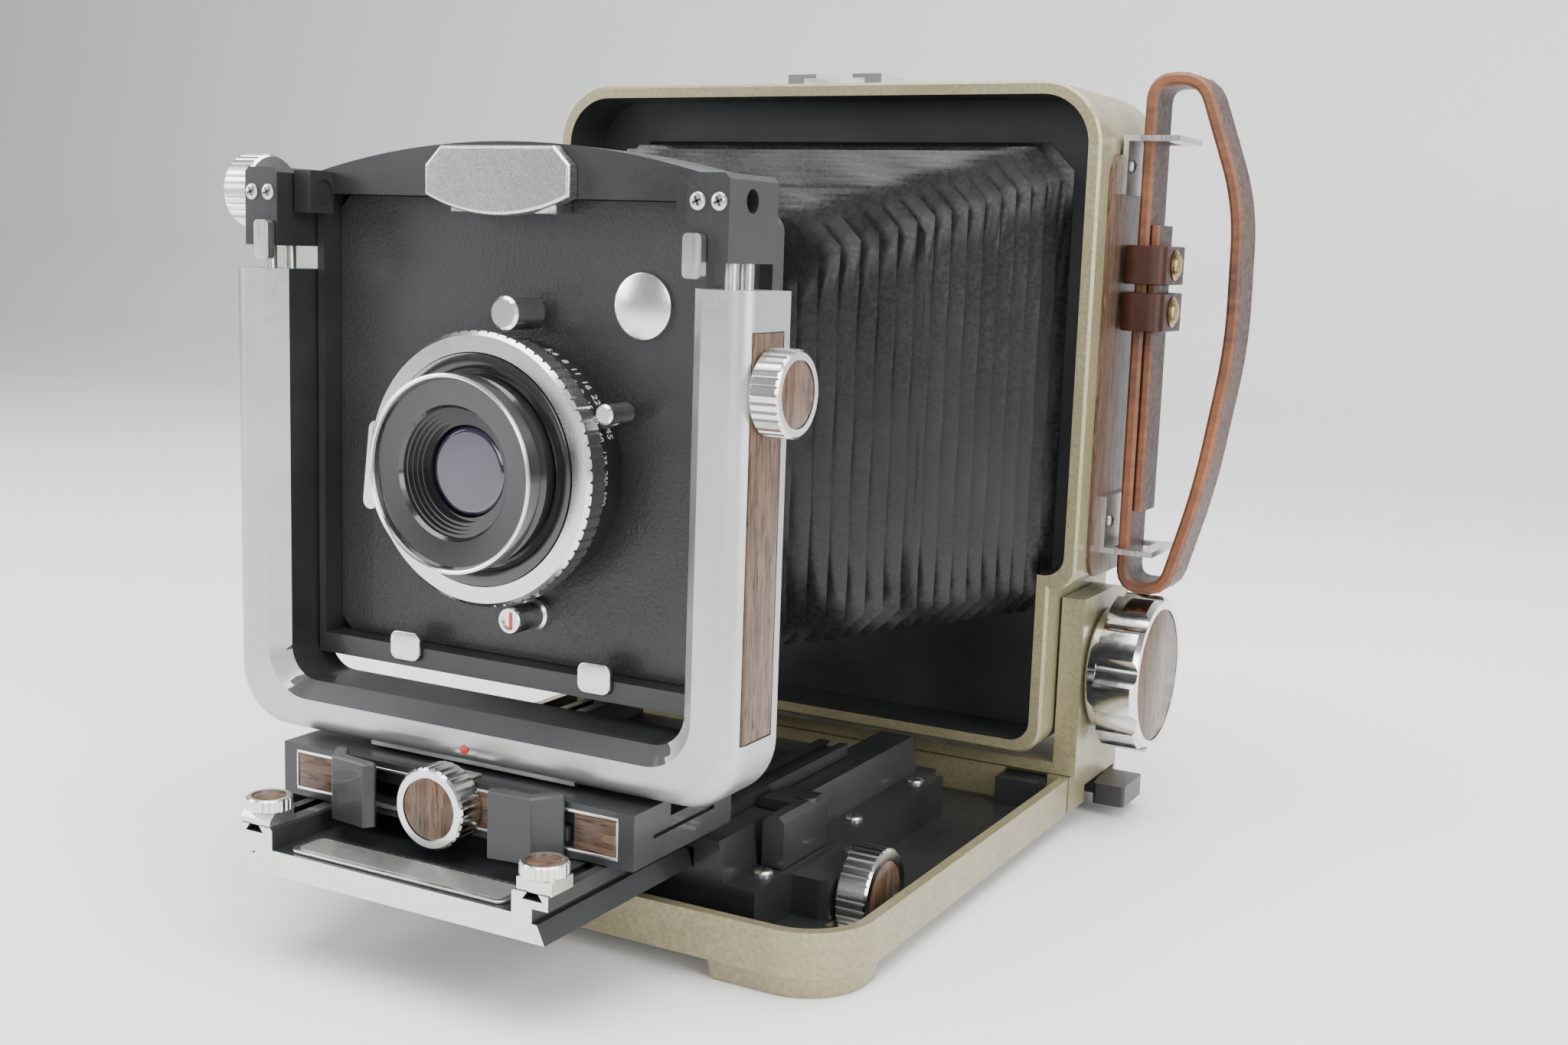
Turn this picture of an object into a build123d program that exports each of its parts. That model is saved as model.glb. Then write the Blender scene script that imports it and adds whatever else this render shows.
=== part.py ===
from build123d import *
import math
import os

# A folding metal field camera for large sheet film, standing open on its bed.
# The lens looks towards -Y, +X is to the right of a person facing the lens,
# +Z is up. The origin is the mouth of the tripod socket under the base.
os.makedirs("parts", exist_ok=True)

# ---- driving dimensions, millimetres ------------------------------------
BODY_W = 182.6              # width over the rear housing
BODY_TOP = 218.5            # top of the housing above the resting plane
HOUSING_FRONT = -38.5       # plane of the housing's front rim
HOUSING_BACK = 15.0
WALL = 3.7                  # thickness of the cast housing and bed walls
LINK_GAP = 0.3              # air left between two pieces that slide or turn
SEAM_Z = 16.2               # top of the base, where the swinging yoke starts
TILT_Y, TILT_Z = -8.0, 46.5  # axis of the big knobs, about which the housing tilts
BASE_FRONT, BASE_BACK = -28.6, 26.0
BED_FRONT, BED_REAR = -181.0, -30.0
BED_HALF = 90.0
BED_UNDER, BED_FLOOR = 5.0, 6.8
TRACK_FRONT, TRACK_REAR = -228.0, -86.0
TRACK_Z = 21.5              # underside of the focusing track
PINION_Y, PINION_Z = -137.0, 11.9
CARRIAGE_FRONT, CARRIAGE_BACK = -206.4, -164.0
CARRIAGE_HALF = 51.2
CARRIAGE_Z, CARRIAGE_TOP = 33.0, 45.9
LENS_Z = 116.6              # height of the lens axis
ARM_FRONT, ARM_BACK = -201.0, -183.0
ARM_OUT, ARM_IN = 73.0, 57.5
ARM_TOP = 160.5
FRAME_HALF = 56.7           # half width of the lens frame between the arms
BOARD = 109.0               # side of the square lens board
BOARD_FRONT = -182.0
BOARD_Z = 124.2             # height of the board's middle
FRONT_TILT_Z = 179.0        # axis of the lens frame's tilt
FRONT_TILT_Y = -191.2


def save(piece, label):
    """Name a finished piece after its node and write it."""
    piece.part.label = label
    export_step(piece.part, f"parts/{label}.step")


def block(x0, x1, y0, y1, z0, z1, mode=Mode.ADD):
    """A plain box between two corners, added to the part being built."""
    with Locations(((x0 + x1) / 2, (y0 + y1) / 2, (z0 + z1) / 2)):
        Box(x1 - x0, y1 - y0, z1 - z0, mode=mode)


def disc(plane, radius, height, mode=Mode.ADD):
    """A plain round boss or bore standing on a plane, along its normal."""
    with BuildSketch(plane) as round_face:
        Circle(radius)
    extrude(round_face.sketch, amount=height, mode=mode)


def facing(x, y, z, direction):
    """A plane at a point whose normal points along one of the axes."""
    return Plane(origin=(x, y, z), z_dir=direction)


def knurled_knob(plane, radius, height, grooves, groove, pocket, stem=0, stem_length=0):
    """A knob standing on a plane: knurled rim, pocket for a wood disc, stem behind."""
    with BuildPart() as knob:
        disc(plane, radius, height)
        chamfer(knob.edges().filter_by(GeomType.CIRCLE), min(0.6, height / 8))
        with BuildSketch(plane):
            with PolarLocations(radius + groove * 0.35, grooves):
                Rectangle(groove * 1.3, groove, rotation=45)
        extrude(amount=height, mode=Mode.SUBTRACT)
        disc(plane.offset(height - 0.8), pocket, 0.8, Mode.SUBTRACT)
        if stem:
            disc(plane, stem, -stem_length)
    return knob


# ---- base under the rear standard ----------------------------------------
BASE_HALF = 90.0
SWING_BOSS_R = 16.0
SWING_BOSS_TOP = SEAM_Z + 2.6
HINGE_Y, HINGE_Z = -29.3, 12.0
HINGE_R = 1.5
SOCKET_R = 4.76             # 3/8 inch tripod thread
SOCKET_DEPTH = 9.0
LEVER_X = 74.0

with BuildPart() as base:
    block(-BASE_HALF, BASE_HALF, BASE_FRONT, BASE_BACK, BED_UNDER, SEAM_Z)
    fillet(base.edges().filter_by(Axis.Z).group_by(Axis.Y)[-1], 12)
    # round boss that the yoke swings on
    disc(Plane.XY.offset(SEAM_Z), SWING_BOSS_R, SWING_BOSS_TOP - SEAM_Z)
    # seat of the tripod plate, and a slot at the right for the swing lock
    block(-62, 62, -20, 20, BED_UNDER, BED_UNDER + 1, Mode.SUBTRACT)
    disc(Plane.XY.offset(BED_UNDER), 9.0, 6.0, Mode.SUBTRACT)
    block(62, BASE_HALF, -14, 14, BED_UNDER, BED_UNDER + 5.4, Mode.SUBTRACT)
    disc(facing(LEVER_X, 0, BED_UNDER + 5.4, (0, 0, 1)), 3.0, 3.0, Mode.SUBTRACT)
    # bores of the bed's hinge pins
    for side in (-1, 1):
        block(side * 76 - 7, side * 76 + 7, BASE_FRONT - 1, BASE_FRONT + 6,
              HINGE_Z - 4, SEAM_Z, Mode.SUBTRACT)
        disc(facing(side * 76 - 11, HINGE_Y + 2.8, HINGE_Z, (1, 0, 0)), HINGE_R,
             22, Mode.SUBTRACT)
save(base, "base_block")

with BuildPart() as tripod_plate:
    block(-62, 62, -20, 20, 0, BED_UNDER + 1)
    fillet(tripod_plate.edges().filter_by(Axis.Z), 5)
    disc(Plane.XY, 9.0, BED_UNDER + 1, Mode.SUBTRACT)
save(tripod_plate, "tripod_plate")

with BuildPart() as tripod_bush:
    disc(Plane.XY, 9.0, BED_UNDER + 6)
    disc(Plane.XY, SOCKET_R, SOCKET_DEPTH, Mode.SUBTRACT)
save(tripod_bush, "tripod_bush")


with BuildPart() as swing_lever:
    block(LEVER_X - 9, BASE_HALF + 9, -4.5, 4.5, BED_UNDER + 0.3, BED_UNDER + 5.0)
    block(BASE_HALF + 1, BASE_HALF + 11, -9, 9, BED_UNDER - 1.4, BED_UNDER + 5.0)
    fillet(swing_lever.edges().filter_by(Axis.Z), 1.2)
    disc(facing(LEVER_X, 0, BED_UNDER + 5.0, (0, 0, 1)), 2.92, 3.0)
save(swing_lever, "swing_lock_lever")

# ---- bed ------------------------------------------------------------------
BED_RIM = 16.2
BED_CORNER = 18.0
BED_WALL = 2.8
GUIDE_FRONT, GUIDE_REAR = -168.0, -56.0
GUIDE_HALF = 60.7
GUIDE_FLANGE = 18.5         # top of the screwed flange
GUIDE_PLATFORM = TRACK_Z - 0.2
GUIDE_LIP = TRACK_Z + 7.4
KNOB_IN, KNOB_OUT = 72.2, 80.6
KNOB_R = 11.7
TRACK_LOCK_POST = (56.3, -134.0)
BED_RELEASE_POST = (20.0, -48.0)


def bed_outline(inset=0.0):
    """Plan outline of the bed: two round front corners and a square rear."""
    with BuildSketch() as plan:
        with BuildLine():
            half = BED_HALF - inset
            radius = BED_CORNER - inset
            front = BED_FRONT + inset
            rear = BED_REAR - inset
            Polyline((-half, front + radius), (-half, rear), (half, rear),
                     (half, front + radius))
            RadiusArc((half, front + radius), (half - radius, front), radius)
            Line((half - radius, front), (-half + radius, front))
            RadiusArc((-half + radius, front), (-half, front + radius), radius)
        make_face()
    return plan.sketch


with BuildPart() as bed:
    with BuildSketch(Plane.XY.offset(BED_UNDER)):
        add(bed_outline())
    extrude(amount=BED_RIM - BED_UNDER)
    # corner feet under the front
    with BuildSketch(Plane.XY):
        add(bed_outline(1.5))
        with Locations((0, (BED_REAR + BED_FRONT) / 2 + 22)):
            Rectangle(400, BED_REAR - BED_FRONT, mode=Mode.SUBTRACT)
        Rectangle(112, 400, mode=Mode.SUBTRACT)
    extrude(amount=BED_UNDER, taper=-8)
    with BuildSketch(Plane.XY.offset(BED_FLOOR)):
        add(bed_outline(BED_WALL))
    extrude(amount=BED_RIM - BED_FLOOR, mode=Mode.SUBTRACT)
    # the rear wall is open, so that the floor runs up to the base
    block(-BED_HALF + BED_WALL, BED_HALF - BED_WALL, BED_REAR - 4, BED_REAR + 1,
          BED_FLOOR, BED_RIM, Mode.SUBTRACT)
    # slots that the focusing knobs and the pinion turn in
    for side in (-1, 1):
        block(side * 76.4 - 5.2, side * 76.4 + 5.2, PINION_Y - 14, PINION_Y + 14,
              0, BED_FLOOR, Mode.SUBTRACT)
    block(-7, 7, PINION_Y - 7, PINION_Y + 7, 0, BED_FLOOR, Mode.SUBTRACT)
    # hinge tongues
    for side in (-1, 1):
        block(side * 76 - 6.7, side * 76 + 6.7, BED_REAR - 6, BED_REAR,
              BED_UNDER, HINGE_Z + 3)
        block(side * 76 - 6.7, side * 76 + 6.7, BED_REAR - 6, HINGE_Y + 2.8,
              HINGE_Z - 3, HINGE_Z + 3)
        disc(facing(side * 76 - 6.7, HINGE_Y + 2.8, HINGE_Z, (1, 0, 0)), 3.0, 13.4)
        disc(facing(side * 76 - 8, HINGE_Y + 2.8, HINGE_Z, (1, 0, 0)), HINGE_R + 0.06,
             16, Mode.SUBTRACT)
    # post that the bed release turns on
    disc(facing(*BED_RELEASE_POST, BED_FLOOR, (0, 0, 1)), 4.5, 4.0)
    disc(facing(*BED_RELEASE_POST, BED_FLOOR, (0, 0, 1)), 2.02, 9.0)
save(bed, "bed_tray")

with BuildPart() as hinge_pins:
    for side in (-1, 1):
        disc(facing(side * 76 - 11, HINGE_Y + 2.8, HINGE_Z, (1, 0, 0)), HINGE_R, 22)
save(hinge_pins, "bed_hinge_pins")

RACK_HALF = 5.0
SHAFT_R = 2.6

with BuildPart() as guide:
    with BuildSketch(Plane.XZ.offset(-GUIDE_FRONT)):
        with BuildLine():
            Polyline((-GUIDE_HALF, BED_FLOOR), (GUIDE_HALF, BED_FLOOR),
                     (GUIDE_HALF, GUIDE_FLANGE), (52.0, GUIDE_FLANGE),
                     (50.5, GUIDE_LIP), (40.2, GUIDE_LIP), (40.2, TRACK_Z + 4.6),
                     (43.6, TRACK_Z + 4.6), (43.6, GUIDE_PLATFORM),
                     (-43.6, GUIDE_PLATFORM), (-43.6, TRACK_Z + 4.6),
                     (-40.2, TRACK_Z + 4.6), (-40.2, GUIDE_LIP), (-50.5, GUIDE_LIP),
                     (-52.0, GUIDE_FLANGE), (-GUIDE_HALF, GUIDE_FLANGE), close=True)
        make_face()
    extrude(amount=-(GUIDE_REAR - GUIDE_FRONT))
    # long slot for the rack, wider where the pinion turns
    block(-RACK_HALF - 0.6, RACK_HALF + 0.6, GUIDE_FRONT, GUIDE_REAR, 14.5,
          GUIDE_PLATFORM, Mode.SUBTRACT)
    block(-7, 7, PINION_Y - 7, PINION_Y + 7, BED_FLOOR, GUIDE_PLATFORM, Mode.SUBTRACT)
    disc(facing(-GUIDE_HALF - 1, PINION_Y, PINION_Z, (1, 0, 0)), SHAFT_R + 0.07,
         2 * GUIDE_HALF + 2, Mode.SUBTRACT)
    # post that the track lock turns on
    disc(facing(*TRACK_LOCK_POST, GUIDE_FLANGE, (0, 0, 1)), 2.52, GUIDE_LIP + 3.4 - GUIDE_FLANGE)
save(guide, "bed_guide")

with BuildPart() as bearings:
    for side in (-1, 1):
        x0, x1 = sorted((side * GUIDE_HALF, side * 71.6))
        block(x0, x1, PINION_Y - 12, PINION_Y + 16, BED_FLOOR, 17.0)
        disc(facing(x0 - 1, PINION_Y, PINION_Z, (1, 0, 0)), SHAFT_R + 0.07, x1 - x0 + 2,
             Mode.SUBTRACT)
    fillet(bearings.edges().filter_by(Axis.Z).group_by(Axis.X)[0], 4)
    fillet(bearings.edges().filter_by(Axis.Z).group_by(Axis.X)[-1], 4)
save(bearings, "pinion_bearings")

# ---- pinion and focusing knobs ---------------------------------------------
GEAR_MODULE = 0.9
GEAR_TEETH = 12
PITCH_R = GEAR_MODULE * GEAR_TEETH / 2
ADDENDUM = 0.6
ROOT_DEPTH = 0.9
TOOTH_PITCH = math.pi * GEAR_MODULE
RACK_TRAVEL = 30.0

with BuildPart() as pinion:
    shaft_end = KNOB_IN
    disc(facing(-shaft_end, PINION_Y, PINION_Z, (1, 0, 0)), SHAFT_R, 2 * shaft_end)
    gear_plane = Plane(origin=(-RACK_HALF, PINION_Y, PINION_Z), x_dir=(0, 0, 1),
                       z_dir=(1, 0, 0))
    with BuildSketch(gear_plane):
        Circle(PITCH_R - ROOT_DEPTH)
        with PolarLocations(PITCH_R - 0.4, GEAR_TEETH):
            Trapezoid(TOOTH_PITCH * 0.46, 2 * ADDENDUM + 0.8, 76, rotation=-90)
    extrude(amount=2 * RACK_HALF)
save(pinion, "focus_pinion")

KNURLS = 34
with BuildPart() as focus_knobs:
    for side in (-1, 1):
        knob_plane = facing(side * KNOB_IN, PINION_Y, PINION_Z, (side, 0, 0))
        add(knurled_knob(knob_plane, KNOB_R, KNOB_OUT - KNOB_IN, KNURLS, 0.9, 8.9).part)
save(focus_knobs, "focus_knobs")

# ---- focusing track ---------------------------------------------------------
POST_TOP = TRACK_Z + 11.1

with BuildPart() as track:
    right_side = [(43.2, 0), (41.1, 4.3), (39.8, 4.3), (39.8, 7.7), (44.0, 7.7),
                  (44.0, 11.1), (41.4, 11.1), (42.6, 9.5), (37.2, 9.5), (38.4, 11.1),
                  (34.9, 11.1), (34.4, 10.6), (34.4, 5.9)]
    left_side = [(-x, z) for x, z in reversed(right_side)]
    with BuildSketch(Plane.XZ.offset(-TRACK_FRONT)):
        with BuildLine():
            Polyline(*[(x, z + TRACK_Z) for x, z in right_side + left_side], close=True)
        make_face()
    extrude(amount=-(TRACK_REAR - TRACK_FRONT))
save(track, "focus_track")

RACK_FRONT = PINION_Y - RACK_TRAVEL - 9
RACK_REAR = PINION_Y + RACK_TRAVEL + 9
RACK_PITCH_Z = PINION_Z + PITCH_R
with BuildPart() as rack:
    block(-RACK_HALF, RACK_HALF, RACK_FRONT, RACK_REAR, RACK_PITCH_Z + 0.95, TRACK_Z)
    teeth = int((RACK_REAR - PINION_Y) / TOOTH_PITCH)
    tooth_plane = Plane(origin=(-RACK_HALF, PINION_Y, RACK_PITCH_Z),
                        x_dir=(0, 1, 0), z_dir=(1, 0, 0))
    with BuildSketch(tooth_plane):
        with Locations(*[((n + 0.5) * TOOTH_PITCH, 0.2) for n in range(-teeth, teeth)]):
            Trapezoid(TOOTH_PITCH * 0.44, 1.5 + ADDENDUM - 0.2, 76, rotation=180)
    extrude(amount=2 * RACK_HALF)
save(rack, "track_rack")

STOP_TOP = TRACK_Z + 14.0
with BuildPart() as stops:
    for side in (-1, 1):
        x0, x1 = sorted((side * 35.4, side * 44.6))
        block(x0, x1, TRACK_FRONT + 0.4, TRACK_FRONT + 8.2, POST_TOP, STOP_TOP)
    chamfer(stops.faces().sort_by(Axis.Z)[-1].edges().filter_by(Axis.X)
            .group_by(Axis.Y)[0], 1.6)
    for side in (-1, 1):
        disc(facing(side * 39.6, TRACK_FRONT + 4.6, POST_TOP, (0, 0, 1)), 1.56, 6,
             Mode.SUBTRACT)
save(stops, "track_stop_wedges")

for name, side in (("left", -1), ("right", 1)):
    top = facing(side * 39.6, TRACK_FRONT + 4.6, STOP_TOP, (0, 0, 1))
    save(knurled_knob(top, 5.4, 3.2, 24, 0.7, 4.1, 1.5, STOP_TOP - POST_TOP),
         f"stop_screw_{name}")

with BuildPart() as catch:
    block(45, 57, -140, -128.5, GUIDE_LIP + 0.3, GUIDE_LIP + 3.0)
    block(53.5, 59.5, -152, -128.5, GUIDE_FLANGE + 0.3, GUIDE_LIP + 3.0)
    chamfer(catch.edges().filter_by(Axis.Y).group_by(Axis.Z)[-1], 1.6)
    disc(facing(*TRACK_LOCK_POST, GUIDE_FLANGE, (0, 0, 1)), 2.6, 16, Mode.SUBTRACT)
save(catch, "track_lock_lever")

with BuildPart() as bed_latch:
    block(10, 52, -51, -45, BED_FLOOR + 4.2, BED_FLOOR + 7.2)
    block(46, 53, -54, -42, BED_FLOOR + 4.2, BED_FLOOR + 9.0)
    fillet(bed_latch.edges().filter_by(Axis.Z), 1.4)
    disc(facing(*BED_RELEASE_POST, BED_FLOOR + 4, (0, 0, 1)), 2.1, 6, Mode.SUBTRACT)
save(bed_latch, "bed_release_lever")

# ---- carriage ------------------------------------------------------------------
PANEL_INSET = 1.6
GROOVE_MID = 39.9
KNOB_Z = 39.9

with BuildPart() as carriage:
    block(-CARRIAGE_HALF, CARRIAGE_HALF, CARRIAGE_FRONT, CARRIAGE_BACK, CARRIAGE_Z,
          CARRIAGE_TOP)
    # tongues that run in the track's two upper grooves
    for side in (-1, 1):
        mid = side * GROOVE_MID
        block(mid - 1.1, mid + 1.1, CARRIAGE_FRONT + 2, CARRIAGE_BACK,
              TRACK_Z + 9.8, CARRIAGE_Z)
    # recess of the wood panel
    block(-47, 47, CARRIAGE_FRONT, CARRIAGE_FRONT + PANEL_INSET, CARRIAGE_Z + 1.8,
          CARRIAGE_TOP - 1.6, Mode.SUBTRACT)
    # cross way of the shift slide, and slots for the squeeze grips
    block(-CARRIAGE_HALF, CARRIAGE_HALF, CARRIAGE_FRONT + 15, CARRIAGE_BACK - 8,
          CARRIAGE_TOP - 4, CARRIAGE_TOP, Mode.SUBTRACT)
    for side in (-1, 1):
        block(side * 25 - 9, side * 25 + 9, CARRIAGE_FRONT + PANEL_INSET,
              CARRIAGE_FRONT + 8, CARRIAGE_Z + 3.6, CARRIAGE_Z + 7.4, Mode.SUBTRACT)
    # long slots in the flanks
    for side in (-1, 1):
        x0, x1 = sorted((side * (CARRIAGE_HALF - 1), side * CARRIAGE_HALF))
        block(x0, x1, CARRIAGE_FRONT + 8, CARRIAGE_BACK - 8, CARRIAGE_Z + 5.4,
              CARRIAGE_Z + 6.4, Mode.SUBTRACT)
    disc(facing(0, CARRIAGE_FRONT - 1, KNOB_Z, (0, 1, 0)), 2.56, 12, Mode.SUBTRACT)
save(carriage, "carriage_block")

for name, side in (("left", -1), ("right", 1)):
    with BuildPart() as grip:
        with BuildSketch(Plane.XY.offset(CARRIAGE_Z - 0.6)):
            with BuildLine():
                Polyline((side * 34, CARRIAGE_FRONT - 0.4),
                         (side * 29, CARRIAGE_FRONT - 7.6),
                         (side * 18, CARRIAGE_FRONT - 9.0),
                         (side * 16, CARRIAGE_FRONT - 6.0),
                         (side * 27, CARRIAGE_FRONT - 4.4),
                         (side * 30, CARRIAGE_FRONT - 0.4), close=True)
            make_face()
        extrude(amount=15.4)
        fillet(grip.edges().filter_by(Axis.Z), 0.7)
        chamfer(grip.faces().sort_by(Axis.Z)[-1].edges(), 0.5)
        block(side * 32 - 2, side * 32 + 2, CARRIAGE_FRONT - 0.6, CARRIAGE_FRONT + 7,
              CARRIAGE_Z + 4.0, CARRIAGE_Z + 7.0)
    save(grip, f"squeeze_grip_{name}")

centre_plane = facing(0, CARRIAGE_FRONT, KNOB_Z, (0, -1, 0))
save(knurled_knob(centre_plane, 9.7, 7.6, 32, 0.9, 7.4, 2.5, 10), "clamp_knob")

# ---- shift slide and U-shaped standard ---------------------------------------
SLIDE_TOP = CARRIAGE_TOP + 0.4
PIVOT_Y = (ARM_FRONT + ARM_BACK) / 2
FOOT_Z = SLIDE_TOP + 0.6
with BuildPart() as shift_slide:
    block(-34, 34, CARRIAGE_FRONT + 15.2, CARRIAGE_BACK - 8.2, CARRIAGE_TOP - 3.8,
          SLIDE_TOP)
    disc(facing(0, PIVOT_Y + 8, SLIDE_TOP, (0, 0, 1)), 7.0, 3.0)
save(shift_slide, "shift_slide")

STANDARD_Z = 46.9           # underside of the U
INNER_FLOOR = 59.5
PIN_R = 1.5
PIN_PLACES = [(side * 65.2, y) for side in (-1, 1) for y in (-195.0, -188.5)]
PIN_BOTTOM = 122.0
BRACKET_Z = 166.0
SIDE_KNOB_Z = 139.3
DETENT_X, DETENT_Z = 60.2, 169.5

with BuildPart() as standard:
    with BuildSketch(Plane.XZ.offset(-ARM_FRONT)):
        with Locations((0, (ARM_TOP + STANDARD_Z) / 2)):
            Rectangle(2 * ARM_OUT, ARM_TOP - STANDARD_Z)
        with Locations((0, (ARM_TOP + 30 + INNER_FLOOR) / 2)):
            Rectangle(2 * ARM_IN, ARM_TOP + 30 - INNER_FLOOR, mode=Mode.SUBTRACT)
    extrude(amount=-(ARM_BACK - ARM_FRONT))
    upright = standard.edges().filter_by(Axis.Y)
    fillet(upright.group_by(Axis.Z)[0], 15)
    inner_corners = standard.edges().filter_by(Axis.Y).filter_by_position(
        Axis.Z, INNER_FLOOR - 1, INNER_FLOOR + 1)
    fillet(inner_corners, 8)
    front = standard.faces().sort_by(Axis.Y)[0].edges()
    inside = [e for e in front if abs(e.center().X) < ARM_IN + 0.5
              and e.center().Z > STANDARD_Z + 4 and e.center().Z < ARM_TOP - 1]
    chamfer(inside, 4.0)
    front = standard.faces().sort_by(Axis.Y)[0].edges()
    outside = [e for e in front if e.center().Z < ARM_TOP - 1 and
               (abs(e.center().X) > ARM_OUT - 6 or e.center().Z < STANDARD_Z + 6)]
    fillet(outside, 5.0)
    # foot that stands on the shift slide, bored for its pivot
    block(-30, 30, ARM_FRONT + 2, ARM_BACK + 0, FOOT_Z, STANDARD_Z + 4)
    disc(facing(0, PIVOT_Y + 8, FOOT_Z - 1, (0, 0, 1)), 7.08, 4.4, Mode.SUBTRACT)
    # bores of the rise pins, seats of the wood strips and of the side knob
    for x, y in PIN_PLACES:
        disc(facing(x, y, ARM_TOP, (0, 0, 1)), PIN_R + 0.08, -(ARM_TOP - 116),
             Mode.SUBTRACT)
    for side in (-1, 1):
        x0, x1 = sorted((side * (ARM_OUT - 1), side * ARM_OUT))
        block(x0, x1, -198.4, -185.4, 63, 152, Mode.SUBTRACT)
    disc(facing(ARM_OUT, -192, SIDE_KNOB_Z, (1, 0, 0)), 2.56, -5.4, Mode.SUBTRACT)
save(standard, "standard_u_frame")

side_plane = facing(ARM_OUT + 0.4, -192, SIDE_KNOB_Z, (1, 0, 0))
save(knurled_knob(side_plane, 9.5, 7.0, 32, 0.9, 7.4, 2.5, 5.4), "rise_lock_knob")

# ---- rise brackets and their pins ----------------------------------------------
with BuildPart() as brackets:
    for side in (-1, 1):
        x0, x1 = sorted((side * 57.3, side * 67.5))
        block(x0, x1, -201, -180, BRACKET_Z, BRACKET_Z + 18.5)
    chamfer(brackets.edges().filter_by(Axis.Y).group_by(Axis.Z)[-1], 1.2)
    for x, y in PIN_PLACES:
        disc(facing(x, y, BRACKET_Z - 1, (0, 0, 1)), PIN_R, 9, Mode.SUBTRACT)
    for side in (-1, 1):
        disc(facing(side * 57.3, FRONT_TILT_Y, FRONT_TILT_Z, (side, 0, 0)), 3.0, 4,
             Mode.SUBTRACT)
        disc(facing(side * 67.5, FRONT_TILT_Y, FRONT_TILT_Z, (side, 0, 0)), 2.56, -5,
             Mode.SUBTRACT)
        disc(facing(side * DETENT_X, -201, DETENT_Z, (0, -1, 0)), 1.26, -4, Mode.SUBTRACT)
save(brackets, "rise_brackets")

with BuildPart() as rise_pins:
    for x, y in PIN_PLACES:
        disc(facing(x, y, PIN_BOTTOM, (0, 0, 1)), PIN_R, BRACKET_Z + 8 - PIN_BOTTOM)
    for side in (-1, 1):
        disc(facing(side * 61.2, FRONT_TILT_Y, FRONT_TILT_Z, (-side, 0, 0)), 3.0, 9.0)
save(rise_pins, "rise_pins_and_trunnions")

for name, side in (("left", -1), ("right", 1)):
    with BuildPart() as detent:
        block(side * DETENT_X - 2.3, side * DETENT_X + 2.3, -203.4, -201.3, 162.6, 172.0)
        fillet(detent.edges().filter_by(Axis.Y), 1.2)
        disc(facing(side * DETENT_X, -201.3, DETENT_Z, (0, 1, 0)), 1.22, 3.0)
    save(detent, f"tilt_detent_lever_{name}")

tilt_knob_plane = facing(-67.9, FRONT_TILT_Y, FRONT_TILT_Z, (-1, 0, 0))
save(knurled_knob(tilt_knob_plane, 9.0, 8.0, 32, 0.9, 7.0, 2.5, 5.0), "front_tilt_knob")

# ---- lens frame, board and latch -------------------------------------------------
FRAME_FRONT, FRAME_BACK = -188.0, -168.0
FRAME_BOTTOM, FRAME_TOP, ARCH_TOP = 64.5, 184.0, 191.5
BOARD_THICK = 4.0
OPENING = 97.0

with BuildPart() as lens_frame:
    with BuildSketch(Plane.XZ.offset(-FRAME_FRONT)):
        with BuildLine():
            Polyline((FRAME_HALF, FRAME_TOP), (FRAME_HALF, FRAME_BOTTOM),
                     (-FRAME_HALF, FRAME_BOTTOM), (-FRAME_HALF, FRAME_TOP))
            ThreePointArc((-FRAME_HALF, FRAME_TOP), (0, ARCH_TOP), (FRAME_HALF, FRAME_TOP))
        make_face()
    extrude(amount=-(FRAME_BACK - FRAME_FRONT))
    pocket = BOARD / 2 + LINK_GAP / 2
    block(-pocket, pocket, FRAME_FRONT, BOARD_FRONT + BOARD_THICK, BOARD_Z - pocket,
          BOARD_Z + pocket, Mode.SUBTRACT)
    block(-OPENING / 2, OPENING / 2, FRAME_FRONT, FRAME_BACK, BOARD_Z - OPENING / 2,
          BOARD_Z + OPENING / 2, Mode.SUBTRACT)
    # way of the board latch, and the bearings of the tilt trunnions
    block(-16.3, 16.3, FRAME_FRONT, BOARD_FRONT, BOARD_Z + pocket - 1,
          BOARD_Z + pocket + 5, Mode.SUBTRACT)
    for side in (-1, 1):
        x0, x1 = sorted((side * 51.5, side * FRAME_HALF))
        block(x0, x1, FRONT_TILT_Y - 4.6, FRAME_FRONT, FRONT_TILT_Z - 5,
              FRONT_TILT_Z + 5)
        disc(facing(x0 - 1, FRONT_TILT_Y, FRONT_TILT_Z, (1, 0, 0)), 3.06, x1 - x0 + 2,
             Mode.SUBTRACT)
save(lens_frame, "lens_frame")

with BuildPart() as latch:
    with BuildSketch(Plane.XZ.offset(-(FRAME_FRONT - 0.2))):
        with BuildLine():
            Polyline((-20.5, 186), (-16, 190.4), (16, 190.4), (20.5, 186), (20.5, 179))
            ThreePointArc((20.5, 179), (0, 174.6), (-20.5, 179))
            Line((-20.5, 179), (-20.5, 186))
        make_face()
    extrude(amount=3.4)
    fillet(latch.faces().sort_by(Axis.Y)[0].edges(), 0.9)
    block(-15, 15, FRAME_FRONT - 0.3, BOARD_FRONT - 0.3, 175.4, 178.2)
save(latch, "board_latch")

with BuildPart() as lens_board:
    half = BOARD / 2
    block(-half, half, BOARD_FRONT, BOARD_FRONT + BOARD_THICK, BOARD_Z - half,
          BOARD_Z + half)
    chamfer(lens_board.edges().filter_by(Axis.Y), 3)
    disc(facing(0, BOARD_FRONT - 1, LENS_Z, (0, 1, 0)), 17.5, BOARD_THICK + 2,
         Mode.SUBTRACT)
save(lens_board, "lens_board")


# ---- shutter and lens --------------------------------------------------------
SHUTTER_R = 30.0
RING_R, RING_IN = 32.0, 27.2


def lens_plane(y):
    """A plane across the lens axis whose normal looks forward."""
    return facing(0, y, LENS_Z, (0, -1, 0))


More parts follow.
